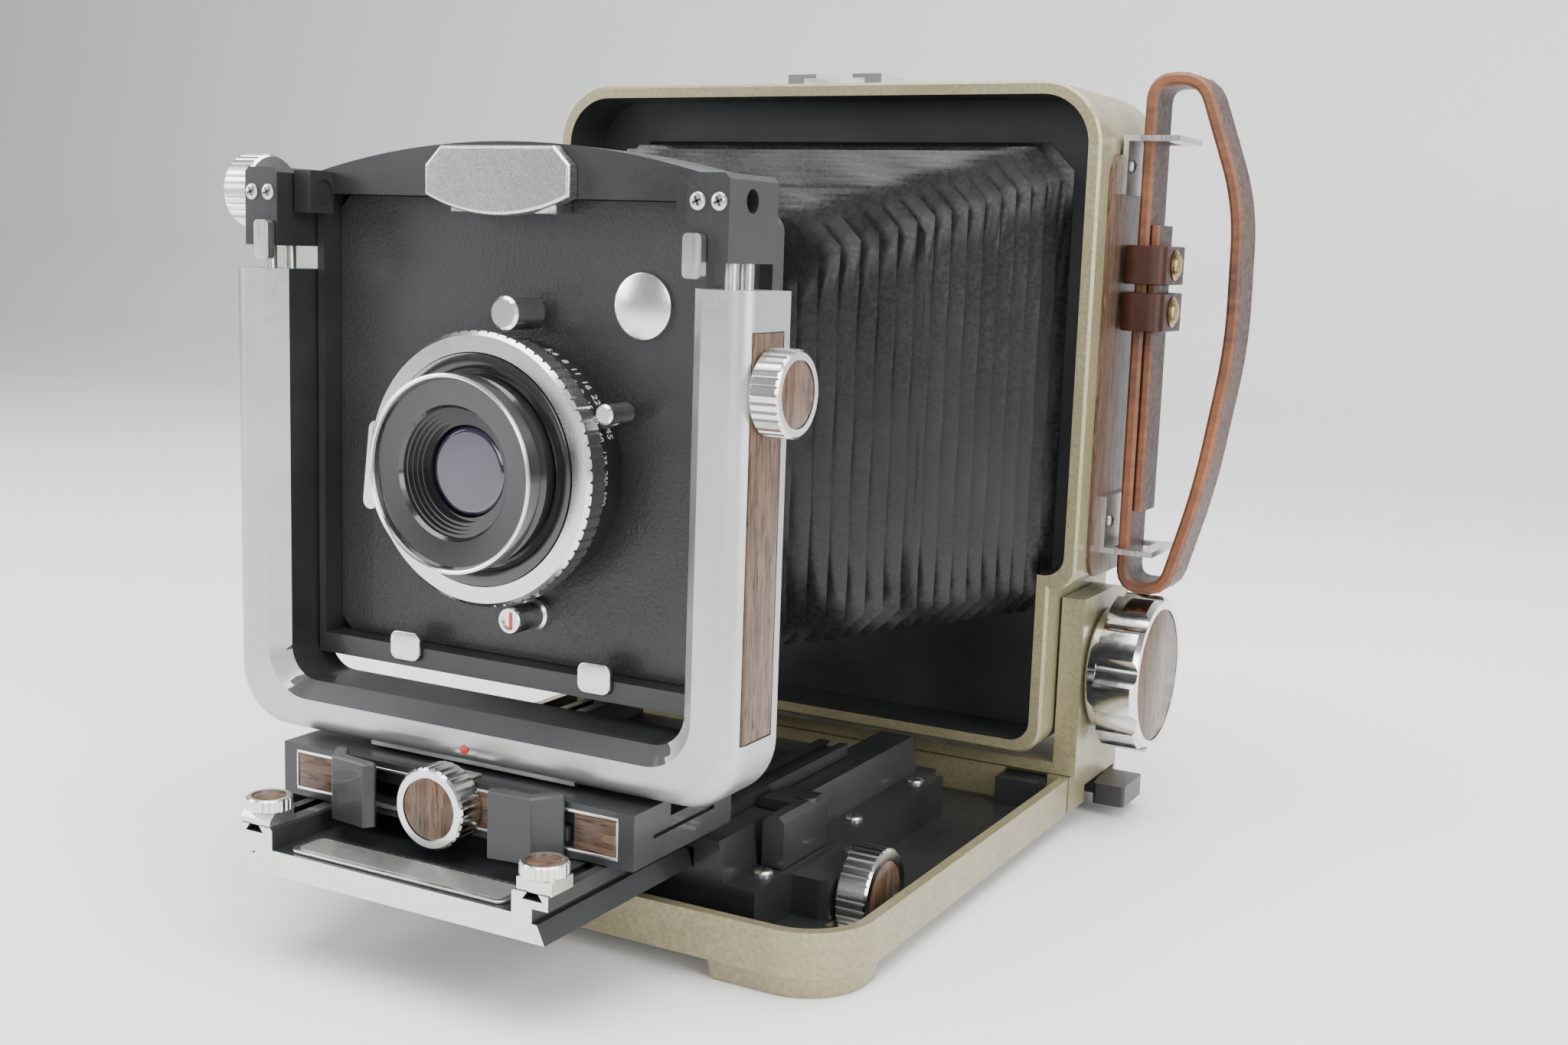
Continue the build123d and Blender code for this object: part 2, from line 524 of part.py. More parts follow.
def around_lens(degrees, radius, y):
    """A point about the lens axis, counted from +X towards +Z."""
    angle = math.radians(degrees)
    return (radius * math.cos(angle), y, LENS_Z + radius * math.sin(angle))


with BuildPart() as shutter:
    disc(lens_plane(BOARD_FRONT), SHUTTER_R, 9.4)
    fillet(shutter.faces().sort_by(Axis.Y)[0].edges(), 1.0)
    disc(lens_plane(-191.4), RING_IN - 0.1, 5.6)
    disc(lens_plane(-174.0), 17.4, 8.0)
    disc(lens_plane(-174.0), 15.0, 24.0, Mode.SUBTRACT)
save(shutter, "shutter_body")

with BuildPart() as shutter_ring:
    disc(lens_plane(-191.8), RING_R, 6.0)
    chamfer(shutter_ring.faces().sort_by(Axis.Y)[0].edges(), 1.0)
    with BuildSketch(lens_plane(-191.8)):
        with PolarLocations(RING_R + 0.15, 72):
            Rectangle(0.9, 0.9, rotation=45)
    extrude(amount=6.0, mode=Mode.SUBTRACT)
    disc(lens_plane(-191.8), RING_IN, 6.0, Mode.SUBTRACT)
save(shutter_ring, "shutter_speed_ring")

CELL_SEAT = -197.1
# radius and distance in front of the seat: outside, rim, name ring, then stepped cone
cell_steps = [(10.7, 0), (22.2, 0), (22.2, 3.4), (21.2, 4.2), (22.8, 6.6), (22.8, 10.2),
              (21.7, 10.2), (21.3, 9.3), (15.6, 8.9), (14.9, 8.0), (14.9, 7.4),
              (14.1, 7.4), (14.1, 6.6), (13.3, 6.6), (13.3, 5.8), (12.5, 5.8),
              (12.5, 5.0), (11.7, 5.0), (11.7, 3.4), (10.7, 3.4)]
with BuildPart() as front_cell:
    with BuildSketch(Plane.XY.offset(LENS_Z)):
        with BuildLine():
            Polyline(*[(radius, CELL_SEAT - step) for radius, step in cell_steps],
                     close=True)
        make_face()
    revolve(axis=Axis((0, 0, LENS_Z), (0, 1, 0)))
save(front_cell, "lens_front_cell")

with BuildPart() as lens_glass:
    disc(lens_plane(CELL_SEAT - 0.1), 10.6, 3.0)
    fillet(lens_glass.faces().sort_by(Axis.Y)[0].edges(), 1.6)
    disc(lens_plane(-166.0), 15.2, 3.6)
save(lens_glass, "lens_glass")

with BuildPart() as rear_cell:
    disc(lens_plane(-162.0), 20.0, 12.0)
    fillet(rear_cell.faces().sort_by(Axis.Y)[-1].edges(), 1.2)
    disc(lens_plane(-162.0), 15.2, 12.0, Mode.SUBTRACT)
    # retaining ring that pulls the shutter onto the board
    disc(lens_plane(-175.0), 21.0, 3.0)
    disc(lens_plane(-175.0), 17.4, 3.0, Mode.SUBTRACT)
save(rear_cell, "lens_rear_cell")

IRIS_Y = -184.0
with BuildPart() as blades:
    disc(lens_plane(IRIS_Y), 15.0, 0.8)
    with BuildSketch(lens_plane(IRIS_Y)):
        RegularPolygon(8.0, 5)
    extrude(amount=0.8, mode=Mode.SUBTRACT)
    disc(lens_plane(-187.0), 15.0, 0.6)
    disc(lens_plane(-187.0), 0.6, 0.6, Mode.SUBTRACT)
save(blades, "iris_and_shutter_blades")


def lever(degrees, inner, outer, width, thick, y):
    """A flat radial lever about the lens axis, turned to its angle."""
    middle = around_lens(degrees, (inner + outer) / 2, y)
    plane = Plane(origin=middle, x_dir=(math.cos(math.radians(degrees)), 0,
                                        math.sin(math.radians(degrees))),
                  z_dir=(0, -1, 0))
    with BuildPart() as arm:
        with BuildSketch(plane):
            RectangleRounded(outer - inner, width, width * 0.3)
        extrude(amount=thick)
    return arm


APERTURE_ANGLE = 24.0
with BuildPart() as aperture_lever:
    add(lever(APERTURE_ANGLE, SHUTTER_R + 0.2, 39.0, 3.6, 1.6, -186.4).part)
    disc(facing(*around_lens(APERTURE_ANGLE, 37.6, -187.6), (0, -1, 0)), 2.3, 9.0)
    chamfer(aperture_lever.faces().sort_by(Axis.Y)[0].edges(), 0.5)
save(aperture_lever, "aperture_lever")

with BuildPart() as cocking_lever:
    add(lever(170, SHUTTER_R + 0.2, 38.0, 6.0, 1.4, -186.2).part)
    with BuildSketch(Plane(origin=(-38.6, -187.0, LENS_Z - 3), x_dir=(1, 0, 0),
                           z_dir=(0, -1, 0))):
        SlotOverall(22, 4.4, rotation=84)
    extrude(amount=1.6)
save(cocking_lever, "cocking_lever")

with BuildPart() as release_lever:
    add(lever(144, SHUTTER_R + 0.2, 35.0, 4.6, 2.2, -187.0).part)
save(release_lever, "release_lever")

with BuildPart() as focus_post:
    disc(facing(6, BOARD_FRONT - 3.0, LENS_Z + 36.2, (0, -1, 0)), 3.9, 10.8)
    chamfer(focus_post.faces().sort_by(Axis.Y)[0].edges(), 0.7)
save(focus_post, "open_shutter_button")

# ---- bellows and its two frames -------------------------------------------------
BELLOWS_FRONT, BELLOWS_REAR = -163.0, -19.0
FRONT_HALF, FRONT_LOW, FRONT_HIGH = 58.5, 73.0, 173.5
REAR_HALF, REAR_LOW, REAR_HIGH = 77.5, 62.0, 203.0

with BuildPart() as bellows_front:
    block(-60, 60, FRAME_BACK, BELLOWS_FRONT, 70, 177)
    fillet(bellows_front.edges().filter_by(Axis.Y), 4)
    block(-OPENING / 2, OPENING / 2, FRAME_BACK, BELLOWS_FRONT,
          BOARD_Z - OPENING / 2, BOARD_Z + OPENING / 2, Mode.SUBTRACT)
save(bellows_front, "bellows_front_frame")


def bellows_section(y, half, low, high):
    """One rectangle of the bellows' cross section, as a wide-cornered face."""
    with BuildSketch(Plane.XZ.offset(-y)) as section:
        with Locations((0, (low + high) / 2)):
            RectangleRounded(2 * half, high - low, 7)
    return section.sketch


with BuildPart() as bellows:
    loft([bellows_section(BELLOWS_FRONT, FRONT_HALF, FRONT_LOW, FRONT_HIGH).face(),
                  bellows_section(BELLOWS_REAR, REAR_HALF, REAR_LOW, REAR_HIGH).face()],
         mode=Mode.ADD)
    loft([bellows_section(BELLOWS_FRONT, FRONT_HALF - 8, FRONT_LOW + 8,
                          FRONT_HIGH - 8).face(),
          bellows_section(BELLOWS_REAR, REAR_HALF - 8, REAR_LOW + 8,
                          REAR_HIGH - 8).face()], mode=Mode.SUBTRACT)
save(bellows, "bellows")

# ---- yoke that carries the housing ----------------------------------------------
YOKE_Z = SEAM_Z + LINK_GAP
YOKE_SLAB_TOP = 19.8
YOKE_ARM_IN, YOKE_ARM_TOP = 84.3, 70.4
TRUNNION_R = 7.0
BIG_STEM_R = 4.0

with BuildPart() as yoke:
    block(-BODY_W / 2, BODY_W / 2, BASE_FRONT + 0.6, BASE_BACK, YOKE_Z, YOKE_SLAB_TOP)
    for side in (-1, 1):
        x0, x1 = sorted((side * YOKE_ARM_IN, side * BODY_W / 2))
        block(x0, x1, BASE_FRONT + 0.6, BASE_BACK, YOKE_Z, YOKE_ARM_TOP)
    rear_tops = yoke.edges().filter_by(Axis.X).filter_by_position(
        Axis.Z, YOKE_ARM_TOP - 1, YOKE_ARM_TOP + 1).group_by(Axis.Y)[-1]
    fillet(rear_tops, 26)
    disc(Plane.XY.offset(YOKE_Z), SWING_BOSS_R + 0.08, 4, Mode.SUBTRACT)
    for side in (-1, 1):
        disc(facing(side * (YOKE_ARM_IN - 0.1), TILT_Y, TILT_Z, (side, 0, 0)),
             TRUNNION_R + 0.08, 3.6, Mode.SUBTRACT)
        disc(facing(side * (YOKE_ARM_IN - 0.1), TILT_Y, TILT_Z, (side, 0, 0)),
             BIG_STEM_R + 0.06, 9, Mode.SUBTRACT)
save(yoke, "yoke")

FLUTES = 9
for name, side in (("left", -1), ("right", 1)):
    start = facing(side * (BODY_W / 2 + LINK_GAP), TILT_Y, TILT_Z, (side, 0, 0))
    with BuildPart() as big_knob:
        disc(start, 18.6, 4.6)
        fillet(big_knob.edges().filter_by(GeomType.CIRCLE), 1.2)
        disc(start.offset(4.6), 23.6, 12.6)
        chamfer(big_knob.faces().sort_by_distance(start.offset(40).origin)[0].edges(), 1.4)
        with BuildSketch(start.offset(4.0)):
            with PolarLocations(28.6, FLUTES):
                Circle(6.6)
        extrude(amount=14, mode=Mode.SUBTRACT)
        disc(start.offset(17.2 - 0.8), 20.0, 0.8, Mode.SUBTRACT)
        disc(start, BIG_STEM_R, -3.6)
    save(big_knob, f"rear_tilt_knob_{name}")

# ---- housing ---------------------------------------------------------------------
WIDE_FROM = 74.5            # below this the housing is narrow, between the yoke arms
HOUSING_FOOT = 24.0
NARROW_HALF = 83.4
FILM_Z = 130.0
FILM_W, FILM_H = 127.0, 102.0


def housing_section(inset=0.0):
    """The outline as a face: top with large corners, sides, and the narrow foot."""
    wide = BODY_W / 2 - inset
    narrow = NARROW_HALF - inset
    top = BODY_TOP - inset
    step = WIDE_FROM + inset
    foot = HOUSING_FOOT + inset
    big = 18.0 - inset
    small = 6.0
    low = 8.0 - inset / 2
    with BuildSketch() as outline:
        with BuildLine():
            Line((narrow, foot + low), (narrow, step))
            Line((narrow, step), (wide - small, step))
            RadiusArc((wide - small, step), (wide, step + small), -small)
            Line((wide, step + small), (wide, top - big))
            RadiusArc((wide, top - big), (wide - big, top), -big)
            Line((wide - big, top), (-wide + big, top))
            RadiusArc((-wide + big, top), (-wide, top - big), -big)
            Line((-wide, top - big), (-wide, step + small))
            RadiusArc((-wide, step + small), (-wide + small, step), -small)
            Line((-wide + small, step), (-narrow, step))
            Line((-narrow, step), (-narrow, foot + low))
            RadiusArc((-narrow, foot + low), (-narrow + low, foot), -low)
            Line((-narrow + low, foot), (narrow - low, foot))
            RadiusArc((narrow - low, foot), (narrow, foot + low), -low)
        make_face()
    return outline.sketch


def in_xz(y):
    """The plane across the camera at y, drawn in X and Z."""
    return Plane(origin=(0, y, 0), x_dir=(1, 0, 0), z_dir=(0, -1, 0))


with BuildPart() as housing:
    with BuildSketch(in_xz(HOUSING_BACK)):
        add(housing_section())
    extrude(amount=HOUSING_BACK - HOUSING_FRONT)
    chamfer(housing.faces().sort_by(Axis.Y)[0].edges(), 0.8)
    with BuildSketch(in_xz(HOUSING_BACK - 3)):
        add(housing_section(WALL))
    extrude(amount=HOUSING_BACK - 3 - HOUSING_FRONT, mode=Mode.SUBTRACT)
    block(-FILM_W / 2, FILM_W / 2, HOUSING_BACK - 4, HOUSING_BACK + 1,
          FILM_Z - FILM_H / 2, FILM_Z + FILM_H / 2, Mode.SUBTRACT)
    # trunnions that sit in the yoke's arms
    for side in (-1, 1):
        disc(facing(side * (NARROW_HALF - 0.4), TILT_Y, TILT_Z, (side, 0, 0)),
             TRUNNION_R, 3.6)
save(housing, "housing_shell")

REAR_FRAME_Y = -15.0
with BuildPart() as rear_frame:
    with BuildSketch(in_xz(REAR_FRAME_Y)):
        add(housing_section(WALL))
    extrude(amount=3.6)
    block(-FILM_W / 2 - 4, FILM_W / 2 + 4, REAR_FRAME_Y - 4, REAR_FRAME_Y + 1,
          FILM_Z - FILM_H / 2 - 4, FILM_Z + FILM_H / 2 + 4, Mode.SUBTRACT)
save(rear_frame, "bellows_rear_frame")

SIDE_PANEL = 1.1
with BuildPart() as side_panels:
    for side in (-1, 1):
        x0, x1 = sorted((side * BODY_W / 2, side * (BODY_W / 2 + SIDE_PANEL)))
        block(x0, x1, -30, 9, 77, 199)
    fillet(side_panels.edges().filter_by(Axis.X), 7)
save(side_panels, "housing_side_panels")

with BuildPart() as shoe:
    block(-16, 16, -24, -8, BODY_TOP, BODY_TOP + 1.2)
    for side in (-1, 1):
        x0, x1 = sorted((side * 10.2, side * 16))
        block(x0, x1, -24, -8, BODY_TOP, BODY_TOP + 4.2)
        x0, x1 = sorted((side * 9.3, side * 10.4))
        block(x0, x1, -24, -8, BODY_TOP + 1.2, BODY_TOP + 2.9, Mode.SUBTRACT)
        x0, x1 = sorted((side * 6.2, side * 10.4))
        block(x0, x1, -24, -8, BODY_TOP + 3.0, BODY_TOP + 4.2)
save(shoe, "accessory_shoe")

# ---- strap and its brackets --------------------------------------------------------
STRAP_Y0, STRAP_Y1 = -18.0, -2.0
STRAP_IN, STRAP_THICK = 96.6, 3.6
PANEL_FACE = BODY_W / 2 + SIDE_PANEL
with BuildPart() as strap_brackets:
    for low, flange in ((188.0, 203.0), (84.0, 84.0)):
        block(PANEL_FACE, PANEL_FACE + 1.5, -22, 2, low, low + 16.6)
        block(PANEL_FACE, PANEL_FACE + 16, -22, 2, flange, flange + 1.6)
        block(STRAP_IN - 0.6, STRAP_IN + STRAP_THICK + 3.8, STRAP_Y0 - 0.8,
              STRAP_Y1 + 0.8, flange - 1, flange + 3, Mode.SUBTRACT)
save(strap_brackets, "strap_brackets")

STRAP_TOP, STRAP_BOTTOM = 222.5, 72.0
TAIL_OUT = STRAP_IN + STRAP_THICK + 2.8
strap_path = [(STRAP_IN, STRAP_BOTTOM), (STRAP_IN, STRAP_TOP), (114.0, STRAP_TOP),
              (127.0, 186.0), (127.5, 146.0), (121.0, 104.0), (112.0, STRAP_BOTTOM)]
with BuildPart() as strap:
    with BuildSketch(in_xz(STRAP_Y1)) as strap_loop:
        with BuildLine():
            Polyline(strap_path, close=True)
        make_face()
        fillet(strap_loop.vertices(), 7)
        offset(amount=-STRAP_THICK, mode=Mode.SUBTRACT)
    extrude(amount=STRAP_Y1 - STRAP_Y0)
    # tail of the strap, doubled along its inner run, and the two keepers round both
    block(STRAP_IN + STRAP_THICK, TAIL_OUT, STRAP_Y0 + 1, STRAP_Y1 - 1, 96, 180)
    with BuildPart(mode=Mode.PRIVATE) as keepers:
        for low in (149.0, 162.5):
            block(STRAP_IN - 1.8, TAIL_OUT + 1.8, STRAP_Y0 - 2, STRAP_Y1 + 3, low,
                  low + 11.5)
            block(STRAP_IN, TAIL_OUT, STRAP_Y0, STRAP_Y1, low - 1, low + 13,
                  Mode.SUBTRACT)
    add(keepers.part)
save(strap, "carry_strap")

# ---- back ------------------------------------------------------------------------
BACK_HALF, BACK_DEPTH = 78.0, 6.0
HOLDER_Y = HOUSING_BACK + BACK_DEPTH + 0.4
with BuildPart() as back_frame:
    block(-BACK_HALF, BACK_HALF, HOUSING_BACK, HOUSING_BACK + BACK_DEPTH,
          FILM_Z - BACK_HALF + 4, FILM_Z + BACK_HALF - 4)
    fillet(back_frame.edges().filter_by(Axis.Y), 9)
    chamfer(back_frame.faces().sort_by(Axis.Y)[-1].edges(), 1.0)
    block(-FILM_W / 2, FILM_W / 2, HOUSING_BACK - 1, HOUSING_BACK + BACK_DEPTH + 1,
          FILM_Z - FILM_H / 2, FILM_Z + FILM_H / 2, Mode.SUBTRACT)
save(back_frame, "back_frame")

GLASS_W, GLASS_H = 126.0, 101.0
HOLDER_HALF_W, HOLDER_HALF_H, HOLDER_DEPTH = 72.0, 60.0, 6.0
with BuildPart() as holder:
    block(-HOLDER_HALF_W, HOLDER_HALF_W, HOLDER_Y, HOLDER_Y + HOLDER_DEPTH,
          FILM_Z - HOLDER_HALF_H, FILM_Z + HOLDER_HALF_H)
    fillet(holder.edges().filter_by(Axis.Y), 4)
    block(-GLASS_W / 2 + 3, GLASS_W / 2 - 3, HOLDER_Y - 1, HOLDER_Y + HOLDER_DEPTH + 1,
          FILM_Z - GLASS_H / 2 + 3, FILM_Z + GLASS_H / 2 - 3, Mode.SUBTRACT)
    block(-GLASS_W / 2, GLASS_W / 2, HOLDER_Y + 1.4, HOLDER_Y + 3.4,
          FILM_Z - GLASS_H / 2, FILM_Z + GLASS_H / 2, Mode.SUBTRACT)
save(holder, "ground_glass_frame")

with BuildPart() as ground_glass:
    block(-GLASS_W / 2 + 0.1, GLASS_W / 2 - 0.1, HOLDER_Y + 1.4, HOLDER_Y + 3.4,
          FILM_Z - GLASS_H / 2 + 0.1, FILM_Z + GLASS_H / 2 - 0.1)
save(ground_glass, "ground_glass")

with BuildPart() as back_springs:
    for side in (-1, 1):
        x0, x1 = sorted((side * 66.0, side * 71.0))
        block(x0, x1, HOLDER_Y + HOLDER_DEPTH, HOLDER_Y + HOLDER_DEPTH + 0.6,
              FILM_Z - 52, FILM_Z + 52)
save(back_springs, "back_leaf_springs")

HOOD_Y = HOLDER_Y + HOLDER_DEPTH + 1.0
HOOD_HINGE_Y, HOOD_HINGE_Z = HOOD_Y + 1.2, FILM_Z + 57.0
with BuildPart() as hood:
    block(-61, 61, HOOD_Y, HOOD_Y + 2.4, FILM_Z - 54, FILM_Z + 54.6)
    fillet(hood.edges().filter_by(Axis.Y), 5)
    block(-55, 55, HOOD_Y + 1.8, HOOD_Y + 2.4, FILM_Z - 48, FILM_Z + 48, Mode.SUBTRACT)
    block(-30, 30, HOOD_Y, HOOD_Y + 2.0, FILM_Z + 50, HOOD_HINGE_Z)
    disc(facing(-30, HOOD_HINGE_Y, HOOD_HINGE_Z, (1, 0, 0)), 1.9, 60)
    disc(facing(-31, HOOD_HINGE_Y, HOOD_HINGE_Z, (1, 0, 0)), 1.06, 62, Mode.SUBTRACT)
save(hood, "focusing_hood")

with BuildPart() as hood_hinge:
    disc(facing(-36, HOOD_HINGE_Y, HOOD_HINGE_Z, (1, 0, 0)), 1.0, 72)
    for side in (-1, 1):
        x0, x1 = sorted((side * 30.4, side * 36))
        block(x0, x1, HOLDER_Y + HOLDER_DEPTH, HOOD_HINGE_Y + 1.6, HOOD_HINGE_Z - 1.6,
              HOOD_HINGE_Z + 1.6)
save(hood_hinge, "hood_hinge")

with BuildPart() as back_lock:
    block(-14, 14, HOUSING_BACK + BACK_DEPTH, HOUSING_BACK + BACK_DEPTH + 2.6,
          FILM_Z + 63, FILM_Z + 69)
    fillet(back_lock.edges().filter_by(Axis.Y), 1.4)
    with BuildSketch(in_xz(HOUSING_BACK + BACK_DEPTH + 2.6)):
        with Locations(*[(x, FILM_Z + 66) for x in range(-9, 10, 3)]):
            Rectangle(1.2, 4.4)
    extrude(amount=0.6, mode=Mode.SUBTRACT)
save(back_lock, "back_lock_slide")
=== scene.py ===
# %% [markdown]
# A folding metal field camera on a pale sweep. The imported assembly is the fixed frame.
# Painted alloy, chrome, wood grain, leather and glass are procedural materials, and the
# soft and fine pieces are modelled here: the pleated bellows, the leather strap, wood
# discs, screws, dials, a blank disc and a blank name plate.

import math

import bmesh
import bpy
from mathutils import Matrix, Vector


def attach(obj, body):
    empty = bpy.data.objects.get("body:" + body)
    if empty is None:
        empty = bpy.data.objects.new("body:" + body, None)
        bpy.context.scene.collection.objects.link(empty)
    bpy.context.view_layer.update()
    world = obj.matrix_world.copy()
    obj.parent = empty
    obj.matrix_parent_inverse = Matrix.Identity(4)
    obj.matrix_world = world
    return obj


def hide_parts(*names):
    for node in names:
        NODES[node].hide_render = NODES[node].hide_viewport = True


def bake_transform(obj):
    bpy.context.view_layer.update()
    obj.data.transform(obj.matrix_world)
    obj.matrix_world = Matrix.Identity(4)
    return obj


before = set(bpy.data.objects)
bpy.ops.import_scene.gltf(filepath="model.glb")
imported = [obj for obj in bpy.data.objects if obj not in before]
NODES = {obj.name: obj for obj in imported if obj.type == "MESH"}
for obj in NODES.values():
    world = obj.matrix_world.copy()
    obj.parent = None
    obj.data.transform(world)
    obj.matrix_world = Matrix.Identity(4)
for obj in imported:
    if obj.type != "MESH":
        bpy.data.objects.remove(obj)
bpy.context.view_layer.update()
MM = 0.001

# %% [markdown]
# Shader sockets are wrapped so that sums and products of them read as arithmetic.
# A Field holds an output socket or a plain number, and one method makes any other node.


# %% Shader arithmetic
class Field:
    def __init__(self, tree, value):
        self.tree = tree
        self.value = value

    def node(self, kind, *inputs, out=0, **settings):
        made = self.tree.nodes.new(kind)
        named = {k: v for k, v in settings.items() if not hasattr(made, k)}
        for key, val in settings.items():
            if key not in named:
                setattr(made, key, val)
        pairs = list(enumerate(inputs)) + [(k.replace("_", " "), v) for k, v in named.items()]
        for key, val in pairs:
            if val is None:
                continue
            if isinstance(val, Field):
                val = val.value
            if isinstance(val, bpy.types.NodeSocket):
                self.tree.links.new(val, made.inputs[key])
            else:
                made.inputs[key].default_value = val
        return Field(self.tree, made.outputs[out])

    def math(self, operation, *others):
        return self.node("ShaderNodeMath", self, *others, operation=operation)

    def __add__(self, other):
        return self.math("ADD", other)

    def __mul__(self, other):
        return self.math("MULTIPLY", other)

    def __sub__(self, other):
        return self.math("SUBTRACT", other)

    def __rsub__(self, other):
        return Field(self.tree, other).math("SUBTRACT", self)

    __radd__ = __add__
    __rmul__ = __mul__

    def ramp(self, low, high, to_low=0.0, to_high=1.0):
        return self.node("ShaderNodeMapRange", self, low, high, to_low, to_high)

    def mix(self, first, second):
        """Two colours mixed by this field."""
        made = self.tree.nodes.new("ShaderNodeMix")
        made.data_type = "RGBA"
        self.tree.links.new(self.value, made.inputs[0])
        for place, col in ((6, first), (7, second)):
            if isinstance(col, Field):
                self.tree.links.new(col.value, made.inputs[place])
            else:
                made.inputs[place].default_value = (*col, 1.0)
        return Field(self.tree, made.outputs[2])


print("shader arithmetic ready")

# %% [markdown]
# Every surface is made by one function: it opens a material, hands the position field
# to a recipe and links what the recipe returns. Positions are in metres, so the scale
# of each texture is its number of cells in a metre.


# %% Material maker
def material(name, color, rough=0.4, metal=0.0, coat=0.0, recipe=None, **fixed):
    made = bpy.data.materials.new(name)
    made.use_nodes = True
    tree = made.node_tree
    shader = tree.nodes["Principled BSDF"]
    shader.inputs["Base Color"].default_value = (*color, 1.0)
    shader.inputs["Roughness"].default_value = rough
    shader.inputs["Metallic"].default_value = metal
    shader.inputs["Coat Weight"].default_value = coat
    for key, val in fixed.items():
        shader.inputs[key.replace("_", " ")].default_value = val
    if recipe:
        start = Field(tree, 0.0)
        place = start.node("ShaderNodeTexCoord", out=3)
        for key, val in recipe(place).items():
            if key == "Bump":
                height, strength, depth = val
                val = place.node("ShaderNodeBump", Strength=strength, Distance=depth, Height=height)
                key = "Normal"
            tree.links.new(val.value, shader.inputs[key])
    return made


def noise(place, scale, detail=3.0, rough=0.5):
    return place.node("ShaderNodeTexNoise", Vector=place, Scale=scale, Detail=detail, Roughness=rough)


def cells(place, scale, feature="F1"):
    return place.node("ShaderNodeTexVoronoi", Vector=place, Scale=scale, feature=feature)


def stretched(place, scale):
    return place.node("ShaderNodeVectorMath", place, scale, operation="MULTIPLY")


print("material maker ready")

# %% [markdown]
# Painted and metal surfaces. Hammertone paint is a bump of soft cells with a little
# shade in the hollows; machined faces have fine rings or lines.


# %% Metal and paint
def hammertone(place):
    dents = cells(place, 900.0, "SMOOTH_F1")
    fine = noise(place, 1400.0)
    broad = noise(place, 18.0)
    tint = dents.ramp(0.1, 0.75).mix((0.250, 0.222, 0.125), (0.345, 0.310, 0.185))
    shade = broad.ramp(0.3, 0.7, 0.0, 0.35).mix(tint, (0.205, 0.178, 0.10))
    height = dents + fine * 0.15
    return {"Base Color": shade, "Roughness": noise(place, 90.0).ramp(0.3, 0.7, 0.3, 0.46),
            "Bump": (height, 0.22, 0.0003)}


def satin(dark, light, low, high, grain=900.0, depth=0.00006):
    def recipe(place):
        broad = noise(place, 26.0, 4.0)
        fine = noise(place, grain, 4.0, 0.6)
        return {"Base Color": broad.ramp(0.3, 0.7).mix(dark, light),
                "Roughness": (broad * 0.5 + fine * 0.5).ramp(0.35, 0.65, low, high),
                "Bump": (fine, 0.25, depth)}
    return recipe


def brushed(dark, light, low, high, scale):
    def recipe(place):
        lines = noise(stretched(place, scale), 1.0, 4.0, 0.7)
        broad = noise(place, 30.0)
        return {"Base Color": lines.ramp(0.3, 0.7).mix(dark, light),
                "Roughness": (lines * 0.6 + broad * 0.4).ramp(0.3, 0.7, low, high),
                "Bump": (lines, 0.18, 0.00004)}
    return recipe


def crinkle(place):
    bumps = cells(place, 1300.0, "SMOOTH_F1")
    fine = noise(place, 2600.0)
    broad = noise(place, 24.0)
    return {"Base Color": broad.ramp(0.3, 0.7).mix((0.012, 0.013, 0.014), (0.026, 0.027, 0.028)),
            "Roughness": bumps.ramp(0.2, 0.8, 0.36, 0.62),
            "Bump": (bumps + fine * 0.4, 0.5, 0.00018)}


HAMMER = material("hammertone_paint", (0.4, 0.37, 0.3), 0.38, 0.35, 0.25, hammertone)
SATIN = material("satin_alloy", (0.5, 0.5, 0.5), 0.36, 0.85, 0.0,
                 satin((0.40, 0.425, 0.405), (0.52, 0.54, 0.52), 0.3, 0.44))
MACHINED = material("machined_alloy", (0.7, 0.7, 0.7), 0.3, 0.95, 0.0,
                    brushed((0.62, 0.62, 0.60), (0.80, 0.80, 0.78), 0.2, 0.36, (60.0, 4000.0, 4000.0)))
BRUSHED_X = material("brushed_alloy", (0.7, 0.7, 0.7), 0.24, 1.0, 0.0,
                     brushed((0.60, 0.60, 0.585), (0.74, 0.74, 0.72), 0.2, 0.34, (2600.0, 60.0, 2600.0)))
TURNED = material("turned_alloy", (0.8, 0.8, 0.8), 0.22, 1.0, 0.0,
                  satin((0.66, 0.66, 0.64), (0.84, 0.84, 0.82), 0.14, 0.28, 2400.0))
CHROME = material("chrome_plate", (0.8, 0.8, 0.8), 0.1, 1.0, 0.0,
                  satin((0.70, 0.70, 0.69), (0.84, 0.84, 0.83), 0.07, 0.16, 500.0, 0.00002))
STEEL = material("spring_steel", (0.6, 0.6, 0.58), 0.3, 1.0, 0.0,
                 brushed((0.48, 0.48, 0.46), (0.66, 0.66, 0.64), 0.22, 0.4, (900.0, 900.0, 90.0)))
BLACK = material("black_satin_alloy", (0.02, 0.02, 0.02), 0.4, 0.2, 0.15,
                 satin((0.014, 0.015, 0.016), (0.032, 0.033, 0.034), 0.3, 0.48, 1500.0, 0.0001))
CRINKLE = material("black_wrinkle_paint", (0.02, 0.02, 0.02), 0.5, 0.1, 0.1, crinkle)
GLOSS = material("black_gloss_enamel", (0.01, 0.01, 0.01), 0.16, 0.0, 0.6,
                 satin((0.008, 0.008, 0.009), (0.018, 0.018, 0.019), 0.12, 0.24, 700.0, 0.00003))
BRASS = material("antique_brass", (0.4, 0.28, 0.12), 0.34, 1.0, 0.0,
                 satin((0.27, 0.19, 0.08), (0.50, 0.38, 0.19), 0.26, 0.46))
print(len(bpy.data.materials), "materials so far")

# %% [markdown]
# Wood, leather and glass. The grain of the wood runs along one axis, with dark pores
# drawn out along it, so there is one wood for each direction.


